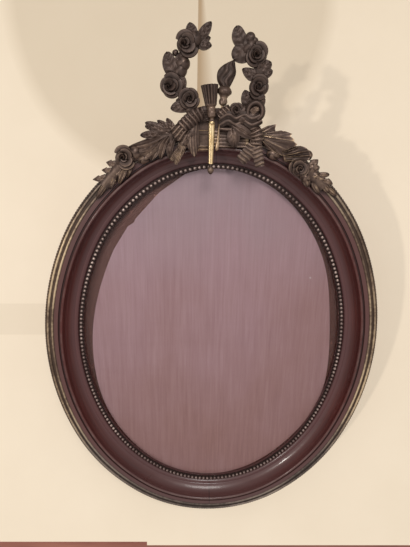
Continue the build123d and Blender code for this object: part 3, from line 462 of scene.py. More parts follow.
def make_plain_wood(name, dark, light, stretch, face_shade=0.0, front_only=False):
    """Oiled plain wood, its grain along the axis of small stretch, with painted shade, dark and red, on the
    board's front face.
    """
    tree = Tree(name)
    grain = tree.noise(90.0, 6.0, 0.62, stretch, distortion=0.6)
    colour = grain.ramp((0.3, dark), (0.7, light))
    colour = colour.tint(tree.noise(12.0, 3.0, 0.5).spread(0.3, 0.7, 0.0, 0.5), dark)
    if face_shade:
        # Painted shade on the board's front face, seen in the rebate round the card.
        shaded_face = tree.axis("Y").spread(0.5 * MM - board_face, 0.2 * MM - board_face, 0.0, face_shade)
        colour = colour.tint(shaded_face, (0.048, 0.009, 0.005))
    tree.set(Base_Color=colour, Roughness=grain.spread(0.3, 0.7, 0.5, 0.7))
    tree.bump(grain, 0.15, 0.3 * MM)
    if front_only:
        tree.show_front_only()
    return tree.material


def make_metal(name, dark, light, roughness):
    """Plain metal with brushed scratches and stains."""
    tree = Tree(name)
    scratches = tree.noise(900.0, 4.0, 0.6, (0.08, 1.0, 1.0))
    tree.set(Base_Color=tree.noise(130.0, 5.0, 0.6).ramp((0.32, dark), (0.66, light)), Metallic=0.9)
    tree.set(Roughness=scratches.spread(0.3, 0.7, roughness * 0.8, roughness * 1.25))
    tree.bump(scratches, 0.10, 0.1 * MM)
    return tree.material


along_x = (0.08, 1.0, 1.0)
along_z = (1.0, 1.0, 0.05)
materials = {
    "mahogany": make_mahogany(),
    "hardwood": make_plain_wood("hardwood", (0.22, 0.13, 0.07), (0.40, 0.26, 0.15), along_x),
    "rim_brass": make_rim_brass(),
    "bead_brass": make_bead_brass(),
    "crest_bronze": make_bronze(),
    "shaft_gilt": make_shaft_gilt(),
    "glass": make_glass(),
    "silk_card": make_silk(),
    # The board's front face gets painted shade.
    "board_wood": make_plain_wood("board_wood", (0.175, 0.078, 0.060), (0.270, 0.132, 0.105), along_z, 0.85),
    "fitting_brass": make_metal("fitting_brass", (0.22, 0.15, 0.06), (0.50, 0.37, 0.17), 0.38),
    "screw_steel": make_metal("screw_steel", (0.10, 0.09, 0.08), (0.30, 0.29, 0.28), 0.42),
}
slot_of = {entry["node"]: entry["material_slot"] for entry in frame["record"]["subparts"]}
for node_name, node_object in frame["nodes"].items():
    node_object.data.materials.clear()
    node_object.data.materials.append(materials[slot_of[node_name]])


# Carved meshes
def add_object(name, data):
    """Object with this data, in the scene."""
    made = bpy.data.objects.new(name, data)
    bpy.context.scene.collection.objects.link(made)
    return made


def relief_points(places, heights):
    """Points (across, up, height) of places and their heights."""
    places, heights = np.broadcast_arrays(places, heights)
    return np.stack([places.real, places.imag, heights], axis=-1)


class Relief:
    """Collects closed shells and makes one piece of them, with a value on each point for its wear and painted
    highlight.
    """

    def __init__(self):
        self.points = []
        self.faces = []
        self.wear_and_highlight_values = []

    def add(self, points, faces, wear_and_highlight_values):
        """Adds points, the faces between them and the wear and painted highlight of each point."""
        start = len(self.points)
        self.points.extend(points)
        self.faces += [[start + corner for corner in face] for face in faces]
        self.wear_and_highlight_values.extend(wear_and_highlight_values)

    def add_grid(self, top, wear_and_highlight, back):
        """A sheet of rows and columns, closed by walls down to a back of the same shape."""
        index = np.arange(top.shape[0] * top.shape[1]).reshape(top.shape[:2])
        corners = (index[:-1, :-1], index[:-1, 1:], index[1:, 1:], index[1:, :-1])
        quads = np.stack(corners, axis=-1).reshape(-1, 4)
        border = np.concatenate([index[0], index[1:, -1], index[-1, -2::-1], index[-2:0:-1, 0]])
        after = np.roll(border, -1)
        walls = np.stack([after, border, index.size + border, index.size + after], axis=-1)
        faces = np.concatenate([quads, index.size + quads[:, ::-1], walls])
        wear_and_highlight = np.broadcast_to(wear_and_highlight, index.shape).ravel()
        points = np.concatenate([top.reshape(-1, 3), back.reshape(-1, 3)])
        self.add(points, faces.tolist(), np.concatenate([wear_and_highlight, np.zeros(index.size)]))

    def add_sheet(self, places, heights, wear_and_highlight, seat):
        """A sheet at these places and heights, closed by walls down to a back at the seat."""
        self.add_grid(relief_points(places, heights), wear_and_highlight, relief_points(places, seat))

    def add_rings(self, rings, wear_and_highlight):
        """Rings of points, skinned and filled at both ends."""
        index = np.arange(rings.shape[0] * rings.shape[1]).reshape(rings.shape[:2])
        after = np.roll(index, -1, axis=1)
        skin = np.stack([index[:-1], after[:-1], after[1:], index[1:]], axis=-1).reshape(-1, 4)
        ends = [index[0, ::-1].tolist(), index[-1].tolist()]
        self.add(rings.reshape(-1, 3), skin.tolist() + ends, np.broadcast_to(wear_and_highlight, index.shape).ravel())

    def make(self, name, slot, nodes, smooth_angle=50.0):
        """Turns the shells into a piece that stands for CAD nodes and rides the frame."""
        across, up, height = np.array(self.points).T
        mesh = bpy.data.meshes.new(name)
        mesh.from_pydata(np.stack([across, -height, up + centre_z], axis=1).tolist(), [], self.faces)
        mesh.validate()
        # Wear and painted highlights, kept on the points for the shaders.
        wear_and_painted_light = mesh.attributes.new("wear_and_highlight", "FLOAT", "POINT")
        wear_and_painted_light.data.foreach_set("value", np.clip(self.wear_and_highlight_values, 0, 1).astype(np.float32))
        mesh.materials.append(materials[slot])
        mesh.shade_smooth()
        mesh.set_sharp_from_angle(angle=math.radians(smooth_angle))
        piece = add_object(name, mesh)
        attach(piece, "frame")
        if nodes:
            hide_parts(*nodes)


def grid_shares(rows, columns):
    """Shares from 0 to 1 along the rows of a sheet and across its columns."""
    return np.arange(rows)[:, None] / (rows - 1), np.arange(columns) / (columns - 1)


def full_turn(steps):
    """Angles evenly round a turn."""
    return 2 * np.pi * np.arange(steps) / steps


def arch_up(share):
    """Rises from 0 to 1 and falls again as a share goes from 0 to 1."""
    return np.sin(np.pi * np.minimum(1.0, share))


def hump(value, middle, width):
    """Smooth bump of 1 round a middle."""
    return np.exp(-(((value - middle) / width) ** 2))


def distances(path):
    """Distance of each place of a path from its start."""
    return np.concatenate([[0.0], np.cumsum(abs(np.diff(path)))])


def smooth_path(places, per_run):
    """Catmull-Rom curve through the places."""
    ends = [2 * places[0] - places[1], *places, 2 * places[-1] - places[-2]]
    t = np.arange(per_run) / per_run
    runs = []
    for p0, p1, p2, p3 in zip(ends, ends[1:], ends[2:], ends[3:]):
        square, cube = 2 * p0 - 5 * p1 + 4 * p2 - p3, 3 * p1 - p0 - 3 * p2 + p3
        runs.append(0.5 * (2 * p1 + (p2 - p0) * t + square * t**2 + cube * t**3))
    return np.concatenate([*runs, [places[-1]]])


def leaf_half(t, blunt):
    """Half width of a leaf at a share of its length, from pointed to blunt."""
    pointed = np.sin(np.pi * t**0.85) ** 0.72
    rounded = (1 - abs(2 * t**0.72 - 1) ** 2.6) ** 0.5
    return pointed * (1 - blunt) + rounded * blunt


def add_leaf(
    relief, base, tip, width, thickness, seat,
    lift=0.0, crown=1.9, teeth=0, bite=0.24, strands=0, bend=0.0, blunt=0.25, veins=0.22,
):
    """Leaf with a midrib and slanting veins or lengthwise strands.

    Lift raises its tip, teeth notch its edge by their bite, blunt rounds it and bend curves it sideways.
    Thickness, lift and crown are in millimetres.
    """
    t, s = grid_shares(31, 15)
    a = 2 * s - 1
    lift, crown = lift * MM, crown * MM
    run = tip - base
    saw = (t * teeth) % 1.0
    half = np.maximum(width / 2 * leaf_half(t, blunt), 0.25 * MM) * (1 - bite * saw * (1 - t * 0.3))
    places = base + run * (t + 1j * bend * arch_up(t)) + 1j * run / abs(run) * a * half
    arch = crown * arch_up(t * 0.85 + 0.12) * (1 - a**2)
    fold = -0.60 * crown * hump(a, 0.0, 0.20) * arch_up(t)
    rib = 0.36 * crown * hump(a, 0.0, 0.08)
    slant = t * (teeth or 3.6) - abs(a) * 0.75
    vein = veins * crown * np.cos(2 * np.pi * slant) * abs(a) ** 0.6 * (1 - abs(a)) * 2
    if strands:
        vein = 0.36 * crown * np.cos(2 * np.pi * a * strands * (1 - 0.4 * t)) * arch_up(t) ** 0.5
    curl = 0.55 * crown * a**6 * arch_up(t)
    height = thickness * MM + arch + fold + rib + vein + curl + lift * t**2
    # Raised parts, veins and curled edges lighter: wear and a painted highlight.
    wear_and_highlight = 0.20 + 0.40 * (arch + vein) / crown + 0.42 * curl / crown + 0.10 * saw
    relief.add_sheet(places, seat + height, wear_and_highlight, seat + lift * t**2)


def add_fan(relief, base_line, outline, ridges, thickness, crown, depth, shine):
    """Broad leaf from a short base line out to an outline, both in spots of the crest.

    Its ridges spread out from the base. Thickness, crown and depth are in millimetres.
    """
    t, s = grid_shares(26, 14 * ridges + 1)
    start, end = (crest_spot(spot) for spot in base_line)
    edge_line = np.array([crest_spot(spot) for spot in outline])
    run = distances(edge_line)
    edge = np.interp(s * run[-1], run, edge_line)
    root = start + (end - start) * s
    spread = s + 0.035 * np.sin(5.3 * np.pi * s + ridges) + 0.02 * np.sin(11 * np.pi * s)
    ridge = abs(np.cos(np.pi * ridges * spread)) ** 5
    thread = abs(np.cos(np.pi * (2.6 * ridges * spread + 0.5 * np.sin(4.0 * t + 9.0 * s)))) ** 3
    swell = 0.5 * np.cos(2 * np.pi * 2.5 * s)
    arch = crown * arch_up(0.2 + 0.75 * t) * arch_up(s) ** 0.5
    vein = depth * (ridge + 0.35 * thread + swell) * arch_up(0.08 + 0.86 * t) ** 0.6
    height = thickness + arch + vein + 0.3 * crown * t**8
    # Ridges and the tip lighter, scaled by shine: wear and a painted highlight.
    wear_and_highlight = shine * (0.22 + 0.30 * ridge * (1 - 0.5 * t) + 0.14 * thread + 0.06 * t**8)
    relief.add_sheet(root + (edge - root) * t, crest_seat + height * MM, wear_and_highlight, crest_seat)


# A rose's layers: petals, half of a petal's turn, turn of the layer, and for each petal its inner and outer
# reach, low and high edge and the roll of its lip, as shares of the rose's radius
rose_layer_shares = (
    (4, 0.92, 0.0, (0.48, 1.04, 0.06, 0.36, 0.16)),
    (3, 1.15, 0.7, (0.26, 0.74, 0.22, 0.66, 0.15)),
    (3, 1.10, 0.2, (0.12, 0.44, 0.34, 0.80, 0.08)),
    (1, 2.40, 0.9, (0.00, 0.20, 0.44, 0.88, 0.00)),
)


def add_petal(relief, centre, seat, radius, middle, half_turn, edges, wobble, face):
    """Cupped petal round a middle angle."""
    inner, outer, low, high, curl = edges
    t, s = grid_shares(10, 13)
    a = 2 * s - 1
    roll = curl * np.maximum(0.0, t - 0.70) / 0.30
    out = inner + (outer * wobble - inner) * t**1.25 * (1 - 0.26 * abs(a) ** 2.4) + 0.07 * a + roll * 0.5
    height = low + (high * wobble - low) * t**0.8 * (1 - 0.26 * a**2) - roll * 0.6
    shift = face * np.maximum(0.0, 1 - out)
    outward = np.exp(1j * (middle + a * half_turn))
    top = relief_points(centre + radius * (out * outward + shift), seat + radius * height)
    back = relief_points(centre + radius * ((out + 0.07) * outward + shift), seat + radius * (height - 0.12))
    # Lips lighter and flanks darker: wear with a painted highlight and painted shade.
    relief.add_grid(top, 0.06 + 0.66 * t**4 - 0.20 * a**2 + 0.6 * (wobble - 1), back)


def add_rose(relief, centre, radius, seat, foot, turn, face=0j):
    """Open rose on a solid base that goes down by its foot. Face moves its heart off the middle."""
    profile = ((0.86, -foot), (0.93, 0), (0.90, 0.16 * radius), (0.70, 0.30 * radius), (0.30, 0.42 * radius))
    share, height = np.array(profile).T[:, :, None]
    angle = full_turn(36)
    lobes = 1 + 0.06 * np.cos(5 * angle + turn) + 0.04 * np.cos(3 * angle - turn)
    places = centre + radius * (share * lobes * np.exp(1j * angle) + face * np.maximum(0.0, 1 - share))
    relief.add_rings(relief_points(places, seat + height), 0.12)
    for count, half_turn, shift, edges in rose_layer_shares:
        for number in range(count):
            middle = turn + shift + 2 * math.pi * number / count
            wobble = 1 + 0.15 * math.sin(3.1 * number + 7 * turn + edges[1] * 9)
            add_petal(relief, centre, seat, radius, middle, half_turn, edges, wobble, face)


def add_bud(relief, centre, radius, seat, tall, turn=0.0, stretch=1.0, lean=0.0):
    """Lobed dome: a bud, or a swelling of the cast when stretched along its lean in degrees."""
    t = np.arange(9)[:, None] / 8
    angle = full_turn(28)
    groove = abs(np.sin(1.5 * (angle - turn) + 1.6 * t))
    swell = 1 - 0.20 * (1 - groove) ** 2 * arch_up(t + 0.15)
    reach = np.cos(t * np.pi / 2 * 0.96) * swell * radius
    places = centre + reach * (stretch * np.cos(angle) + 1j * np.sin(angle)) * np.exp(1j * math.radians(lean))
    height = tall * radius * np.sin(t * np.pi / 2) * swell
    # Tops of the lobes lighter: wear and a painted highlight.
    relief.add_rings(relief_points(places, seat + height), 0.18 + 0.42 * t * groove)


def add_stem(relief, places, width, seat, height):
    """Rounded stem through the places."""
    path = smooth_path(places, 6)
    ends = np.concatenate([path[:1], path, path[-1:]])
    step = ends[2:] - ends[:-2]
    side = 1j * step / abs(step) * (1 + 0.12 * np.sin(1.9 * np.arange(len(path))))
    angle = full_turn(10)[::-1]
    places = path[:, None] + side[:, None] * np.cos(angle) * width / 2
    heights = seat + (0.5 + 0.5 * np.sin(angle)) * height
    # The front of the stem lighter: wear and a painted highlight.
    relief.add_rings(relief_points(places, heights), 0.5 * np.maximum(0.0, np.sin(angle)))


def add_ribbon(
    relief, spots, widths, heights, pleat, depth, lengthwise=False, crown=1.3, gilding_and_highlight=0.0, seat=bow_seat
):
    """Pleated ribbon through spots of the crest. Its pleats cross it, or run along it when lengthwise.

    Widths, heights, pleat, depth and crown are in millimetres.
    """
    path = smooth_path([crest_spot(spot) for spot in spots], 14)
    run = distances(path)
    pleat = pleat * MM
    t, s = grid_shares(max(24, int(run[-1] / (pleat / 8))), 19)
    a = 2 * s - 1
    distance = run[-1] * t

    def along(values):
        """Value at each row, from values given evenly along the ribbon."""
        return np.interp(distance, run, np.interp(run, np.linspace(0, run[-1], len(values)), values)) * MM

    half = along(widths) / 2
    before, here, after = (np.interp(distance + shift * MM, run, path) for shift in (-0.4, 0.0, 0.4))
    side = 1j * (after - before) / abs(after - before)
    phase = a * half * 2 / pleat if lengthwise else distance / pleat + 0.14 * np.sin(2.2 * a)
    wave = abs(np.cos(np.pi * phase)) ** 0.8
    reach = half * (1 if lengthwise else 1 - 0.08 * (1 - wave))
    height = crown * (1 - abs(a) ** 3) + depth * (wave - 0.5)
    # Pleat crests lighter, with gilding that also stands for a painted highlight.
    wear_and_highlight = 0.10 + 0.70 * wave**4 * (1 - 0.4 * abs(a)) + gilding_and_highlight
    relief.add_sheet(here + side * a * reach, seat + along(heights) + height * MM, wear_and_highlight, seat)


def dense(section_shares, spacing):
    """Section of a turned piece (out, up) with points added, so that it can be fluted finely."""
    section = np.array(section_shares) * crest_rise
    filled = []
    for here, following in zip(section, section[1:]):
        count = max(1, int(math.hypot(*(following - here)) / spacing))
        filled += [here + (following - here) * step / count for step in range(count)]
    return np.array([*filled, section[-1]])


def turned_rings(foot, lean, axis_height, section, steps=48, flutes=0, flute_depth=0.0, fluted=False):
    """Rings of a turned piece whose axis leans to the right, cut flat at the base plate."""
    out, up = section.T[:, :, None]
    angle = full_turn(steps)
    groove = abs(np.cos(flutes * angle / 2)) ** 0.7
    reach = out * np.where(fluted, 1 - flute_depth * (1 - groove), 1.0)
    places = foot + (reach * np.cos(angle) + 1j * up) * np.exp(-1j * lean)
    return relief_points(places, np.maximum(plate_front, axis_height + reach * np.sin(angle)))


def between(section, low_share, high_share):
    """Which points of a section lie between two shares of the crest's rise."""
    up = section[:, 1:] / crest_rise
    return (low_share <= up) & (up <= high_share)


def raised(rings, height, reach):
    """How far points stand above a height: 0 below it, 1 at the reach or more."""
    return np.clip((rings[:, :, 2] - height) / reach, 0, 1)


# In the tables of leaves, buds and roses the first places are spots that "locate" finds on the frame,
# and widths and radii are shares of the crest's rise.
def add_leaves(relief, locate, seat, leaves):
    """Leaves from (base, tip, width, thickness in millimetres, other form)."""
    for base, tip, width_share, thickness, form in leaves:
        add_leaf(relief, locate(base), locate(tip), width_share * crest_rise, thickness, seat, **form)


def add_buds(relief, locate, seat, buds):
    """Buds and swellings from (spot, radius, height in radii, turn, stretch, lean)."""
    for spot, radius_share, *form in buds:
        add_bud(relief, locate(spot), radius_share * crest_rise, seat, *form)


def add_roses(relief, locate, seat, foot, roses):
    """Roses from (spot, radius, turn, face)."""
    for spot, radius_share, *form in roses:
        add_rose(relief, locate(spot), radius_share * crest_rise, seat, foot, *form)


def make_garland(side, stems, leaves, swells, roses):
    """Half of the wreath: stems, rounded leaves, swellings and roses, with its back on the base plate."""
    relief = Relief()
    for width_share, spots in stems:
        places = [crest_spot(spot) for spot in spots]
        add_stem(relief, places, width_share * crest_rise, plate_front, 4.4 * MM)
    add_leaves(relief, crest_spot, plate_front, leaves)
    add_buds(relief, crest_spot, plate_front + 0.4 * MM, swells)
    add_roses(relief, crest_spot, bow_seat, bow_seat - plate_front, roses)
    relief.make(f"garland_{side}_cast", "crest_bronze", [f"garland_{side}"])


def make_garland_left():
    """Left half of the wreath: three roses, a bud and rounded leaves."""
    stems = (
        (0.105, ((-0.27, 0.81), (-0.335, 0.735), (-0.375, 0.66), (-0.42, 0.56), (-0.455, 0.46))),
        (0.100, ((-0.455, 0.46), (-0.385, 0.33), (-0.29, 0.20), (-0.235, 0.115), (-0.185, 0.07))),
    )
    leaves = (
        ((-0.215, 0.825), (-0.090, 0.985), 0.100, 2.6, {"lift": 1.2, "blunt": 0.4}),
        ((-0.270, 0.830), (-0.305, 0.978), 0.118, 2.4, {"blunt": 0.4}),
        ((-0.235, 0.805), (-0.082, 0.778), 0.100, 2.2, {"bend": -0.05, "blunt": 0.3}),
        ((-0.230, 0.815), (-0.094, 0.850), 0.085, 1.8, {"blunt": 0.3}),
        ((-0.425, 0.480), (-0.535, 0.712), 0.155, 2.6, {"bend": 0.08, "blunt": 0.8, "veins": 0.3}),
        ((-0.300, 0.200), (-0.500, 0.185), 0.125, 2.4, {"bend": -0.06, "blunt": 0.5}),
        ((-0.360, 0.230), (-0.442, 0.268), 0.090, 2.0, {"blunt": 0.6}),
        ((-0.405, 0.355), (-0.395, 0.500), 0.120, 3.0, {"blunt": 0.8}),
        ((-0.420, 0.500), (-0.395, 0.700), 0.125, 2.6, {"blunt": 0.7}),
    )
    swells = (
        ((-0.446, 0.708), 0.034, 0.85),
        ((-0.375, 0.612), 0.078, 0.85, 0.9),
        ((-0.400, 0.540), 0.070, 0.85, 2.0, 1.25, 60),
        ((-0.392, 0.415), 0.062, 0.85, 0.4, 1.5, 85),
        ((-0.262, 0.815), 0.085, 0.85, 0.4, 1.25, 70),
        ((-0.285, 0.175), 0.060, 0.95, 1.0, 1.6, 150),
    )
    roses = (
        ((-0.328, 0.782), 0.100, 0.3, -0.38 - 0.06j),
        ((-0.485, 0.400), 0.102, 1.4, -0.36 - 0.20j),
        ((-0.308, 0.278), 0.094, 2.3, 0.10 - 0.05j),
    )
    make_garland("left", stems, leaves, swells, roses)


def make_garland_right():
    """Right half of the wreath: two roses, buds and broad leaves."""
    stems = (
        (0.105, ((0.235, 0.80), (0.31, 0.76), (0.385, 0.66), (0.415, 0.55), (0.415, 0.44))),
        (0.110, ((0.415, 0.44), (0.405, 0.30), (0.345, 0.17), (0.262, 0.085), (0.20, 0.075))),
    )
    leaves = (
        ((0.250, 0.775), (0.155, 0.955), 0.142, 2.6, {"lift": 0.8, "blunt": 1.0, "bend": 0.08}),
        ((0.320, 0.790), (0.128, 0.672), 0.200, 2.4, {"blunt": 0.9, "bend": 0.05}),
        ((0.385, 0.515), (0.525, 0.640), 0.150, 2.6, {"blunt": 0.6, "bend": 0.10}),
        ((0.430, 0.520), (0.545, 0.560), 0.100, 2.2, {"blunt": 0.6}),
        ((0.440, 0.510), (0.232, 0.572), 0.118, 2.4, {"bend": 0.10, "blunt": 0.3}),
        ((0.330, 0.185), (0.265, 0.375), 0.130, 2.4, {"blunt": 0.4}),
        ((0.395, 0.220), (0.480, 0.300), 0.090, 2.4, {"blunt": 0.7}),
    )
    swells = (
        ((0.303, 0.853), 0.060, 0.85, 0.4),
        ((0.345, 0.830), 0.042, 0.85, 1.3),
        ((0.300, 0.770), 0.075, 0.85, 0.2, 1.2, 40),
        ((0.405, 0.610), 0.060, 0.85, 0.0, 1.3, 100),
        ((0.440, 0.268), 0.052, 0.85),
        ((0.395, 0.285), 0.060, 0.85, 2.2, 1.2, 60),
        ((0.335, 0.225), 0.065, 0.85, 1.0, 1.3, 100),
    )
    roses = (
        ((0.370, 0.702), 0.098, 0.8, -0.12 - 0.10j),
        ((0.408, 0.400), 0.097, 2.9, -0.12 + 0j),
    )
    make_garland("right", stems, leaves, swells, roses)


def make_quiver():
    """Fluted quiver over a ringed collar."""
    section_shares = (
        (0.001, 0), (0.024, 0), (0.031, 0.020), (0.022, 0.040), (0.047, 0.054), (0.050, 0.085),
        (0.044, 0.110), (0.050, 0.125), (0.044, 0.145), (0.060, 0.165), (0.076, 0.265), (0.091, 0.358),
        (0.081, 0.358), (0.075, 0.335), (0.001, 0.335),
    )
    section = dense(section_shares, 1.0 * MM)
    flutes, around = 14, 140
    fluted = between(section, 0.170, 0.36)
    foot = crest_spot((-0.066, 0.055))
    rings = turned_rings(foot, quiver_lean, quiver_axis, section, around, flutes, 0.15, fluted)
    # Flute ridges and the collar's front lighter: wear and a painted highlight.
    flute_wear_and_highlight = 0.30 + 0.65 * abs(np.cos(flutes * full_turn(around) / 2)) ** 3
    quiver = Relief()
    quiver.add_rings(rings, np.where(fluted, flute_wear_and_highlight, 0.70 + 0.70 * raised(rings, quiver_axis, 5 * MM)))
    quiver.make("quiver_cast", "crest_bronze", ["quiver"], smooth_angle=40.0)


def make_shaft():
    """Gilt shaft with rounded edges and a groove, tapering downwards, and the knob on top of it."""
    corner_shares = ((-0.100, 0.048), (-0.034, 0.048), (-0.047, -0.366), (-0.096, -0.366))
    top_left, top_right, foot_right, foot_left = (crest_spot(spot) for spot in corner_shares)
    t, s = grid_shares(40, 13)
    left = top_left + (foot_left - top_left) * t
    right = top_right + (foot_right - top_right) * t
    a = 2 * s - 1
    height = 3.4 * MM + 1.6 * MM * (1 - a**4) - 0.35 * MM * hump(a, 0.0, 0.35)
    shaft = Relief()
    shaft.add_sheet(left + (right - left) * s, plate_front + height, 1.0, plate_front)
    add_bud(shaft, crest_spot((-0.067, 0.052)), 2.7 * MM, plate_front + 3.6 * MM, 1.1)
    shaft.make("shaft_gilded", "shaft_gilt", ["quiver_shaft"])


def make_drop():
    """Turned drop at the end of the shaft."""
    section_shares = (
        (0.001, 0), (0.016, 0), (0.014, -0.022), (0.030, -0.042), (0.037, -0.064), (0.030, -0.088),
        (0.012, -0.108), (0.001, -0.112),
    )
    rings = turned_rings(crest_spot((-0.0715, -0.366)), 0.0, drop_axis, dense(section_shares, 0.8 * MM))
    drop = Relief()
    # Front of the drop lighter: wear and a painted highlight.
    drop.add_rings(rings, 0.25 + 0.3 * raised(rings, drop_axis, 3 * MM))
    drop.make("drop_cast", "crest_bronze", ["shaft_drop"])


def make_torch():
    """Turned torch with a cup, and the twisted flame above it."""
    section_shares = (
        (0.001, 0), (0.020, 0.020), (0.022, 0.085), (0.014, 0.105), (0.0155, 0.455), (0.040, 0.472),
        (0.046, 0.500), (0.036, 0.530), (0.046, 0.552), (0.076, 0.580), (0.078, 0.600), (0.066, 0.622),
        (0.050, 0.640), (0.001, 0.640),
    )
    section = dense(section_shares, 1.2 * MM)
    foot = crest_spot((-0.011, -0.235))
    fluted = between(section, 0.48, 0.54)
    rings = turned_rings(foot, torch_lean, torch_axis, section, flutes=8, flute_depth=0.08, fluted=fluted)
    wear_and_highlight = 1.0 + 0.85 * raised(rings, torch_axis + 0.5 * MM, 5 * MM)
    torch = Relief()
    torch.add_rings(rings, wear_and_highlight + 0.45 * (section[:, 1:] < 0.10 * crest_rise))
    torch.make("torch_cast", "crest_bronze", ["torch_body"])

    side_shares = (
        (-0.055 + 0.640j, -0.092 + 0.700j, -0.094 + 0.780j, -0.040 + 0.845j, 0.059 + 0.906j),
        (0.048 + 0.640j, 0.074 + 0.705j, 0.092 + 0.778j, 0.076 + 0.848j, 0.059 + 0.906j),
    )
    left, right = (smooth_path(np.array(shares) * crest_rise, 18)[:, None] for shares in side_shares)
    t, a = grid_shares(len(left), 41)
    across = arch_up(a)
    snake = a + 0.16 * np.sin(2 * np.pi * 1.35 * t)
    tongue = (2 * abs(np.cos(np.pi * (2.6 * snake + 0.5 * t))) ** 1.5 - 1) * across**0.5
    scroll = 0.5 * np.cos(2 * np.pi * (3.2 * t + 0.9 * a)) * across
    height = 2.4 * MM + 3.6 * MM * across**0.7 * (1 - 0.5 * t) + 0.42 * MM * (tongue + scroll * (1 - t))
    places = foot + (left + (right - left) * a) * np.exp(-1j * torch_lean)
    flame = Relief()
    # Tongues and scrolls lighter: wear and a painted highlight.
    flame.add_sheet(places, plate_front + height, 0.30 + 0.20 * (tongue + scroll), plate_front)
    flame.make("flame_cast", "crest_bronze", ["torch_flame"])


def make_bow_left():
    """Left half of the bow: two runs of crossed pleats, a twist, a hanging tongue and a forked tail."""
    relief = Relief()
    for spots, widths, heights, pleat, depth, form in (
        (
            ((-0.10, 0.135), (-0.16, 0.135), (-0.20, 0.13)),
            (13, 14, 12), (0.8, 1.2, 1.0), 2.9, 0.7, {"lengthwise": True},
        ),
        (
            ((-0.155, 0.150), (-0.235, 0.115), (-0.315, 0.055), (-0.395, -0.005)),
            (10.5, 13, 13.5, 11), (2.8, 3.8, 3.8, 2.8), 3.9, 1.5, {"gilding_and_highlight": 0.08},
        ),
        (
            ((-0.462, 0.010), (-0.425, -0.035), (-0.385, -0.080), (-0.335, -0.125)),
            (9, 12.5, 12.5, 8), (2.2, 3.2, 3.2, 2.0), 3.8, 1.5, {"gilding_and_highlight": 0.16},
        ),
        (
            ((-0.250, 0.05), (-0.262, -0.05), (-0.262, -0.15), (-0.248, -0.290)),
            (8, 12, 12.5, 3), (0.8, 1.4, 1.4, 0.6), 5.2, 0.5, {"lengthwise": True, "gilding_and_highlight": 0.25},
        ),
        (
            ((-0.345, -0.10), (-0.375, -0.18), (-0.415, -0.26), (-0.50, -0.335)),
            (6, 8, 9.5, 4), (0.6, 0.9, 0.7, 0.2), 2.6, 0.9, {"lengthwise": True, "gilding_and_highlight": 0.30},
        ),
        (
            ((-0.405, -0.25), (-0.425, -0.31), (-0.450, -0.375)),
            (6, 6.5, 3.5), (0.5, 0.6, 0.1), 2.6, 0.8, {"lengthwise": True, "gilding_and_highlight": 0.35},
        ),
    ):
        add_ribbon(relief, spots, widths, heights, pleat, depth, **form)
    swells = (
        ((-0.353, -0.143), 0.048, 0.9, 0.0, 1.4, 60),
        ((-0.320, -0.095), 0.042, 0.9, 1.0, 1.2, 100),
        ((-0.275, -0.060), 0.060, 0.6, 2.0, 1.3, 80),
    )
    add_buds(relief, crest_spot, bow_seat, swells)
    relief.make("bow_left_cast", "crest_bronze", ["bow_left"])


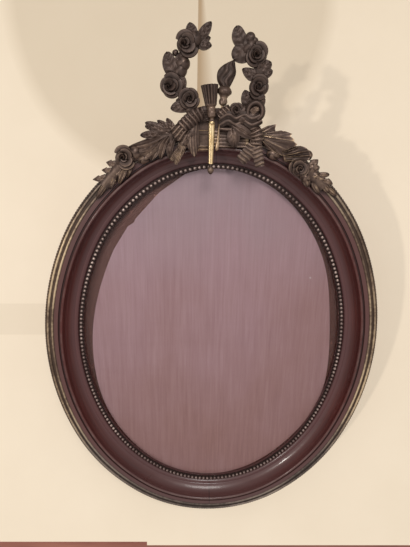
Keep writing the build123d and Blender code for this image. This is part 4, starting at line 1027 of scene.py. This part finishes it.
def make_bow_right():
    """Right half of the bow: knot pleats, a wavy ribbon, a loop, a leaf and two tails."""
    relief = Relief()
    waves = {"lengthwise": True, "gilding_and_highlight": 0.02, "crown": 2.2}
    wave_crests = ((0.015, 0.045), (0.10, 0.085), (0.18, 0.050), (0.27, 0.085), (0.35, 0.050), (0.455, 0.095))
    for shift, rise in ((-0.015, 0.8), (0.045, 2.0)):
        spots = [(across, up + shift) for across, up in wave_crests]
        heights = (rise, rise + 1.2, rise, rise + 1.4, rise)
        add_ribbon(relief, spots, (7, 8.5, 7, 9, 8.5, 5), heights, 8.0, 0.6, **waves)
    tail = {"crown": 0.5, "gilding_and_highlight": 0.16}
    # A painted highlight: the crescent in the loop is made bright.
    crescent = {"lengthwise": True, "gilding_and_highlight": 0.90, "seat": bow_seat + 3.6 * MM}
    for spots, widths, heights, pleat, depth, form in (
        (
            ((0.000, 0.110), (0.055, 0.150), (0.12, 0.195)),
            (8.5, 9.5, 8), (2.6, 3.4, 2.4), 3.6, 1.5, {"gilding_and_highlight": 0.20},
        ),
        (
            ((0.02, -0.01), (0.13, -0.015), (0.24, -0.005), (0.33, -0.03)),
            (4, 6, 7, 4), (0.4, 0.8, 0.8), 8.0, 0.6, waves,
        ),
        (
            (
                (0.315, 0.10), (0.300, 0.165), (0.325, 0.225), (0.385, 0.250), (0.440, 0.215), (0.450, 0.14),
                (0.405, 0.085),
            ),
            (5.2, 6.4, 5.2), (2.6, 3.4, 2.6), 9.0, 0.6, waves,
        ),
        (((0.335, 0.150), (0.370, 0.178), (0.412, 0.190)), (5, 6, 4), (0.6, 1.2, 0.6), 2.6, 0.6, crescent),
        (
            ((0.385, 0.01), (0.405, -0.06), (0.410, -0.12), (0.400, -0.17)),
            (10.5, 11.5, 11.5, 11), (2.0, 3.0, 2.8, 1.6), 3.8, 1.5, {"gilding_and_highlight": 0.14},
        ),
        (
            ((0.395, -0.145), (0.335, -0.235), (0.245, -0.335)),
            (10, 12.5, 11), (1.4, 1.2, 0.4), 3.8, 0.8, tail,
        ),
        (((0.410, -0.155), (0.430, -0.26), (0.462, -0.388)), (10, 10.5, 9), (1.6, 1.4, 0.4), 3.8, 0.8, tail),
    ):
        add_ribbon(relief, spots, widths, heights, pleat, depth, **form)
    swells = (
        ((0.235, 0.150), 0.070, 0.6, 0.3, 1.5, 30),
        ((0.300, 0.150), 0.060, 0.7, 1.2, 1.2, 90),
        ((0.344, 0.118), 0.072, 0.85, 0.8, 1.3, 10),
        ((0.240, 0.092), 0.058, 0.85, 2.1, 1.4, -20),
        ((0.120, 0.080), 0.048, 0.85, 1.1, 1.5, 20),
        ((0.368, 0.165), 0.066, 0.70, 0.4, 1.1, 20),
    )
    add_buds(relief, crest_spot, bow_seat, swells)
    add_roses(relief, crest_spot, bow_seat + 2.0 * MM, 2.0 * MM, (((0.180, 0.180), 0.062, 0.5),))
    leaf_end = {"blunt": 0.20, "veins": 0.07, "crown": 2.5}
    hanging_leaf = ((0.146, 0.000), (0.180, -0.196), 0.132, 1.8, leaf_end)
    long_leaf = ((0.130, 0.040), (0.395, -0.105), 0.105, 1.8, leaf_end)
    add_leaves(relief, crest_spot, bow_seat + 0.4 * MM, [hanging_leaf])
    add_leaves(relief, crest_spot, bow_seat + 0.6 * MM, [long_leaf])
    relief.make("bow_right_cast", "crest_bronze", ["bow_right"])


def add_slats(relief):
    """Plain slats on the base plate, right of the shaft."""
    t, s = grid_shares(81, 9)
    low, high = (crest_spot(spot) for spot in slat_corner_shares)
    places = low + (high - low).real * s + 1j * (high - low).imag * t
    wave = abs(np.cos(np.pi * slat_count * t)) ** 0.6
    # Slat crests lighter: wear and a painted highlight.
    relief.add_sheet(places, plate_front + (0.2 + 0.45 * wave) * MM, 0.40 + 0.12 * wave, crest_seat)


def make_plaque():
    """Arched panel with a raised border, on the base plate left of the shaft, and the slats right of it."""
    t, s = grid_shares(41, 41)
    low, high = (crest_spot(spot) for spot in plaque_corner_shares)
    from_left, from_foot = (high - low).real * s, (high - low).imag * t
    from_top = (high - low).imag - from_foot
    corner = np.hypot(np.minimum(0.0, from_left - plaque_corner), np.minimum(0.0, from_top - plaque_corner))
    edge = np.minimum(np.minimum(from_left, from_top), np.minimum(from_foot, plaque_corner - corner)) / MM
    border = hump(edge, 1.6, 0.9) + 0.5 * hump(edge, 4.0, 0.6)
    height = (1.0 + 1.7 * border) * MM
    relief = Relief()
    # The raised border lighter: wear and a painted highlight.
    wear_and_highlight = 0.52 + height / (8 * MM)
    relief.add_sheet(low + from_left + 1j * from_foot, crest_seat + height, wear_and_highlight, crest_seat)
    add_slats(relief)
    relief.make("plaque_cast", "crest_bronze", [])


def make_spray(side, locate, screw_angles, stem_spots, leaves, buds, roses, fans=()):
    """Leaves, buds and roses on a stem along the moulding, with a lug over each screw."""
    relief = Relief()
    add_stem(relief, [locate(spot) for spot in stem_spots], 0.120 * crest_rise, crest_seat, 4.4 * MM)
    for angle in screw_angles:
        lug = [oval_point(math.radians(angle), offset) for offset in (screw_offset, lug_end)]
        add_stem(relief, lug, 6.4 * MM, crest_seat, 3.4 * MM)
    add_leaves(relief, locate, crest_seat, leaves)
    add_buds(relief, locate, crest_seat + 1.0 * MM, buds)
    add_roses(relief, locate, crest_seat + 3.6 * MM, 3.6 * MM, roses)
    for fan in fans:
        add_fan(relief, *fan)
    relief.make(f"spray_{side}_cast", "crest_bronze", [f"spray_{side}"])


def make_spray_left():
    """Left spray: laurel leaves by the bow, a rose, and notched leaves and buds towards its end."""
    stem_shares = ((105.0, 0.95), (112.0, 0.94), (119.0, 0.92), (126.0, 0.90), (131.0, 0.84), (134.5, 0.80))
    laurel = {"blunt": 0.75, "crown": 2.2}
    notched = {"teeth": 3, "bite": 0.45, "crown": 1.6}
    leaves = (
        ((106.5, 1.02), (113.4, 1.50), 0.100, 2.4, laurel | {"lift": 1.2}),
        ((111.5, 1.30), (113.9, 1.42), 0.060, 2.4, laurel | {"lift": 1.2}),
        ((106.0, 1.08), (109.6, 1.44), 0.070, 2.4, laurel | {"lift": 1.0}),
        ((105.0, 1.02), (106.6, 1.42), 0.072, 2.4, laurel),
        ((109.5, 1.08), (116.6, 1.27), 0.090, 2.4, laurel | {"lift": 0.8}),
        ((109.0, 0.98), (123.0, 1.15), 0.150, 2.8, {"bend": 0.08, "strands": 2, "crown": 2.4}),
        ((110.5, 0.92), (122.5, 0.84), 0.150, 3.0, {"strands": 2, "bend": 0.05}),
        ((110.0, 0.92), (117.2, 0.58), 0.120, 3.2, {"bend": -0.10, "strands": 1.5}),
        ((107.5, 0.98), (113.6, 0.50), 0.095, 3.8, {"bend": -0.12, "strands": 1.5}),
        ((105.5, 0.95), (110.2, 0.40), 0.080, 3.2, {"bend": -0.10}),
        ((124.5, 0.92), (131.0, 0.56), 0.080, 2.8, {"strands": 1.5}),
        ((123.5, 0.88), (127.9, 0.55), 0.070, 2.4, {"strands": 1.5}),
        ((127.4, 0.92), (129.6, 1.20), 0.090, 2.2, notched),
        ((129.2, 0.86), (131.8, 1.13), 0.080, 2.2, notched),
        ((131.0, 0.82), (135.3, 1.12), 0.085, 2.2, notched),
        ((130.0, 0.86), (133.6, 0.62), 0.060, 2.8, {"blunt": 0.7}),
        ((132.0, 0.84), (138.6, 0.72), 0.065, 2.6, {"blunt": 0.6, "strands": 1}),
    )
    buds = (
        ((121.3, 0.96), 0.075, 0.9, 0.2, 1.1, 31),
        ((119.4, 0.70), 0.050, 0.9, 1.7, 1.4, 29),
        ((134.0, 0.84), 0.036, 0.9, 0.7, 1.0, 44),
        ((129.0, 0.78), 0.040, 0.9, 0.4, 1.5, 39),
        ((131.5, 0.72), 0.036, 0.9, 1.4, 1.2, 41),
    )
    roses = (((124.9, 0.99), 0.100, 0.2, -0.16 + 0.04j),)
    make_spray("left", rim_spot, (114, 127), stem_shares, leaves, buds, roses)


def make_spray_right():
    """Right spray: acanthus by the bow, rolled folds, a rose, and small leaves towards its end."""
    stem_spots = ((0.44, -0.08), (0.62, -0.16), (0.78, -0.24), (0.93, -0.36), (1.06, -0.48), (1.19, -0.60))
    notched = {"teeth": 2, "bite": 0.38, "crown": 1.7}
    smooth = {"blunt": 0.8, "strands": 1}
    leaves = (
        ((1.000, -0.400), (1.100, -0.305), 0.105, 2.6, notched),
        ((1.010, -0.420), (1.125, -0.385), 0.085, 2.6, smooth),
        ((1.120, -0.470), (1.238, -0.462), 0.060, 3.2, {"blunt": 0.95, "veins": 0.05}),
        ((1.100, -0.500), (1.200, -0.520), 0.080, 2.6, smooth),
        ((1.160, -0.520), (1.288, -0.565), 0.085, 2.6, notched),
        ((1.180, -0.570), (1.260, -0.660), 0.075, 2.6, smooth),
        ((1.210, -0.590), (1.345, -0.695), 0.060, 2.6, smooth),
        ((0.960, -0.480), (1.020, -0.600), 0.090, 2.6, smooth),
        ((1.060, -0.540), (1.150, -0.670), 0.080, 2.6, smooth | {"blunt": 0.5}),
    )
    buds = (
        ((0.605, -0.262), 0.052, 0.9, 0.0, 1.35, -25),
        ((0.990, -0.262), 0.050, 0.9, 0.7, 1.1, -60),
        ((1.042, -0.393), 0.055, 0.9, 1.2, 1.2, 60),
        ((0.980, -0.500), 0.056, 0.9, 0.5, 1.2, -40),
        ((1.085, -0.480), 0.050, 0.9, 1.9, 1.3, -30),
        ((1.150, -0.560), 0.040, 0.9, 0.5, 1.5, -40),
    )
    roses = (((0.890, -0.395), 0.088, 1.1, 0.10 - 0.15j),)
    upper = (
        (0.450, -0.005), (0.533, 0.034), (0.618, 0.050), (0.606, 0.005), (0.622, -0.040), (0.600, -0.065),
    )
    broad = (
        (0.610, -0.050), (0.655, -0.052), (0.668, -0.012), (0.720, -0.020), (0.792, -0.044), (0.776, -0.072),
        (0.815, -0.098), (0.820, -0.125), (0.856, -0.152), (0.822, -0.185), (0.800, -0.215), (0.740, -0.252),
        (0.700, -0.268), (0.600, -0.232), (0.525, -0.195), (0.490, -0.150),
    )
    folds = (
        (0.820, -0.172), (0.890, -0.166), (0.940, -0.178), (0.985, -0.212), (1.010, -0.262), (0.990, -0.308),
        (0.940, -0.335), (0.860, -0.350),
    )
    acanthus = (
        (((0.425, -0.020), (0.440, -0.060)), upper, 3, 2.4, 1.6, 0.6, 1.4),
        (((0.430, -0.040), (0.450, -0.110)), broad, 7, 3.0, 2.2, 0.7, 1.4),
        (((0.690, -0.225), (0.735, -0.335)), folds, 5, 3.0, 4.2, 1.7, 0.7),
    )
    make_spray("right", crest_spot, (66, 57), stem_spots, leaves, buds, roses, acanthus)


# Brass rim with two reeds and a milled edge
reed_width = 2.8 * MM
reed_rise = 1.4 * MM
reed_pitch = 4.8 * MM
reed_steps = 8
edge_reach = 2.45 * MM
edge_radius = 1.9 * MM
edge_steps = 9
rim_pitch = 3.1 * MM
mill_ribs = 6
mill_depth = 0.48 * MM


def reed(start):
    """Points across a half-round reed that starts at this offset."""
    points = []
    for step in range(reed_steps + 1):
        angle = math.pi * step / reed_steps
        across = reed_width / 2 * (1 - math.cos(angle))
        points.append((start + across, rim_web + reed_rise * math.sin(angle)))
    return points


def sweep_rim(relief, profile, wear_and_highlight, arc, pitch, ribs=0):
    """Sweeps a closed profile of (offset, height) along the oval. Slanting ribs notch its outer points."""
    angles = oval_angles(rim_reach, pitch, *arc)
    index = np.arange(len(profile))
    inset = np.zeros((len(angles), len(profile)))
    if ribs:
        notched = (index >= 2) & (index <= edge_steps)
        phase = np.arange(len(angles))[:, None] / ribs + index * 0.07
        inset = notched * mill_depth / 2 * (1 - np.cos(2 * np.pi * phase))
    offsets, heights = np.array(profile).T
    places = [[oval_point(angle, offset) for offset in row] for angle, row in zip(angles, offsets - inset)]
    # Darker in the milled notches: wear and painted shade.
    relief.add_rings(relief_points(np.array(places), heights), np.array(wear_and_highlight) - inset / (0.6 * MM))


def make_rim(side, first, last):
    """Half of the rim, in two shells: the reeded top with its flange, and the milled edge."""
    inner = band_end + 0.1 * MM
    second = inner + reed_pitch
    outer = second + reed_width
    under = [(outer, rim_seat + 0.2 * MM), (rim_bore, rim_seat + 0.2 * MM), (rim_bore, rim_seat)]
    top = [(inner, rim_seat)] + reed(inner) + reed(second) + under
    # Reed crowns lighter: wear and a painted highlight.
    reed_wear_and_highlight = [0.15 + 0.85 * math.sin(math.pi * step / reed_steps) for step in range(reed_steps + 1)]
    relief = Relief()
    sweep_rim(relief, top, [0.0] + reed_wear_and_highlight * 2 + [0.0] * len(under), (first, last), rim_pitch)
    turns = [math.radians(10 + 14 * step) for step in range(edge_steps)]
    bulge = [
        (outer + edge_reach * math.sin(turn), rim_web - edge_radius * (1 - math.cos(turn))) for turn in turns
    ]
    edge = [(rim_bore, rim_seat)] + bulge + [(rim_flange, rim_flange_foot), (rim_bore, rim_flange_foot)]
    edge_rub = [0.0] + [0.55] * edge_steps + [0.1, 0.0]
    sweep_rim(relief, edge, edge_rub, (first, last), rim_pitch / mill_ribs, mill_ribs)
    relief.make(f"rim_{side}_milled", "rim_brass", [f"rim_{side}"], smooth_angle=60.0)


make_garland_left()
make_garland_right()
make_quiver()
make_shaft()
make_drop()
make_torch()
make_bow_left()
make_bow_right()
make_plaque()
make_spray_left()
make_spray_right()
make_rim("right", -math.pi / 2, math.pi / 2)
make_rim("left", math.pi / 2, 3 * math.pi / 2)


# Camera where the photograph was taken from
photo_width = 410
photo_height = 547
camera_sensor = 36.0
camera_lens = 27.05
camera_place = Vector((-23.4, -454.4, -1.5)) * MM
camera_forward = Vector((0.0306, 0.9576, -0.2863)).normalized()
camera_up = Vector((-0.007, 0.2866, 0.958))
camera_up = (camera_up - camera_forward * camera_up.dot(camera_forward)).normalized()
camera_right = camera_forward.cross(camera_up)

# Stage: cream paper behind and under the frame, square to the camera, on a dark wooden table
paper_foot = Vector((0.0, 0.0, -438.5 * MM))
paper_distance = (paper_foot - camera_place).dot(camera_forward)
paper_middle = camera_place + camera_forward * paper_distance
pixel = paper_distance / (photo_height * camera_lens / camera_sensor)
paper_dark = (0.860, 0.745, 0.585)
paper_light = (0.890, 0.775, 0.615)
paper_shade = (0.36, 0.275, 0.165)
seam_shade = (0.36, 0.235, 0.120)

# Pixels of the photograph: the paper's dim patch, its fold and the seam between the sheets
patch_centre = (170.0, -20.0)
patch_reach = (165.0, 200.0)
fold_top = 303.0
fold_bottom = 335.0
seam_top = 201.0
seam_slope = -10.0 / 543.0


def paper_point(across, up, forward):
    """Point off the paper: across and up as the camera sees it, from the middle of its view."""
    return paper_middle + camera_right * across + camera_up * up - camera_forward * forward


def make_paper(name, seam):
    """Cream paper with a faint mottle, painted shade darker towards the top, a painted shadow in a dim round
    patch above, and painted shade along a fold at the left and by the seam.
    """
    tree = Tree(name)

    def pixels_along(direction):
        """Distance in pixels from the middle of the view along a direction of the paper."""
        inputs = {0: tree.place, 1: direction}
        reach = tree.add("ShaderNodeVectorMath", inputs, "Value", operation="DOT_PRODUCT")
        return (reach - paper_middle.dot(direction)) / pixel

    x = pixels_along(camera_right) + photo_width / 2
    y = photo_height / 2 - pixels_along(camera_up)
    wide = (x - patch_centre[0]) / patch_reach[0]
    tall = (y - patch_centre[1]) / patch_reach[1]
    patch = tree.maths("SQRT", wide * wide + tall * tall).spread(0.94, 1.04, 1.0, 0.0)
    colour = tree.noise(9.0, 5.0, 0.6).ramp((0.3, paper_dark), (0.7, paper_light))
    # Painted shade darker towards the top, and a painted shadow in the dim round patch.
    colour = colour.tint(y.spread(-60.0, 230.0, 0.16, 0.0), paper_shade).tint(patch * 0.30, paper_shade)
    # Painted shade along the fold at the left.
    half_fold = (fold_bottom - fold_top) / 2
    fold = abs(y - (fold_top + half_fold)).spread(half_fold - 1, half_fold, 0.12, 0.0)
    colour = colour.tint(fold * x.spread(60.0, 90.0, 1.0, 0.0), paper_shade)
    if seam:
        # Painted shade on the curled edge by the seam.
        share = (x - (y * seam_slope + seam_top)) / (y * 0.13 + 4.0)
        curl = share.spread(0.0, 1.0, 0.8, 0.0) * y.spread(130.0, 240.0, 1.0, 0.0)
        colour = colour.tint(curl, seam_shade)
    tree.set(Base_Color=colour, Roughness=0.75)
    tree.show_front_only()
    return tree.material


def add_sheet(name, material, pixel_corners, forward):
    """Flat sheet of paper or the table top, given by the pixels of its corners."""
    corners = [
        paper_point((x - photo_width / 2) * pixel, (photo_height / 2 - y) * pixel, forward)
        for x, y in pixel_corners
    ]
    mesh = bpy.data.meshes.new(name)
    mesh.from_pydata([tuple(corner) for corner in corners], [], [(0, 1, 2, 3)])
    mesh.materials.append(material)
    add_object(name, mesh)


def add_stage():
    """Two sheets of paper side by side and the dark table they lie on."""
    left, right = make_paper("paper_left", seam=False), make_paper("paper_right", seam=True)
    add_sheet("paper_left", left, [(-1500, 541.5), (191, 541.5), (219, -1500), (-1500, -1500)], 0.4 * MM)
    add_sheet("paper_right", right, [(147, 545.2), (2000, 545.2), (2000, -1500), (147, -1500)], 0.0)
    dark, light = (0.20, 0.06, 0.045), (0.40, 0.16, 0.11)
    table = make_plain_wood("table_wood", dark, light, (0.05, 1.0, 1.0), front_only=True)
    add_sheet("table", table, [(-2500, 1500), (3000, 1500), (3000, 500), (-2500, 500)], -3.0 * MM)


def add_camera():
    """Camera at the photograph's place and angle."""
    data = bpy.data.cameras.new("camera")
    data.sensor_width = camera_sensor
    data.lens = camera_lens
    data.clip_start = 0.01
    camera = add_object("camera", data)
    turn = Matrix((camera_right, camera_up, -camera_forward)).transposed()
    camera.matrix_world = Matrix.Translation(camera_place) @ turn.to_4x4()
    bpy.context.scene.camera = camera


def add_lamp(name, place, target, size, power, colour, glints=True):
    """Square area lamp that faces a target, with or without glints."""
    data = bpy.data.lights.new(name, "AREA")
    data.size = size
    data.energy = power
    data.color = colour
    lamp = add_object(name, data)
    lamp.location = place
    lamp.rotation_mode = "QUATERNION"
    lamp.rotation_quaternion = (target - place).to_track_quat("-Z", "Y")
    lamp.visible_camera = False
    lamp.visible_glossy = glints


def add_lights():
    """A small lamp low on the left, a broad one overhead, one behind and a soft room all round."""
    target = paper_point(0.0, 0.0, 60 * MM)
    back_place, back_target = Vector((0.0, 1.5, 0.10)), Vector((0.0, 0.0, centre_z))
    add_lamp("key", paper_point(-1.06, -0.28, 1.72), target, 0.06, 7.5, (1.0, 0.95, 0.88))
    add_lamp("overhead", paper_point(0.40, 1.05, 3.05), target, 1.1, 46.0, (1.0, 0.965, 0.93))
    add_lamp("behind", back_place, back_target, 0.25, 10.0, (1.0, 0.97, 0.94), glints=False)
    world = bpy.data.worlds.new("room")
    world.use_nodes = True
    room = world.node_tree.nodes["Background"].inputs
    room["Color"].default_value = (1.0, 0.97, 0.94, 1.0)
    room["Strength"].default_value = 0.52
    bpy.context.scene.world = world


add_camera()
add_stage()
add_lights()
bpy.context.scene.view_settings.view_transform = "Standard"
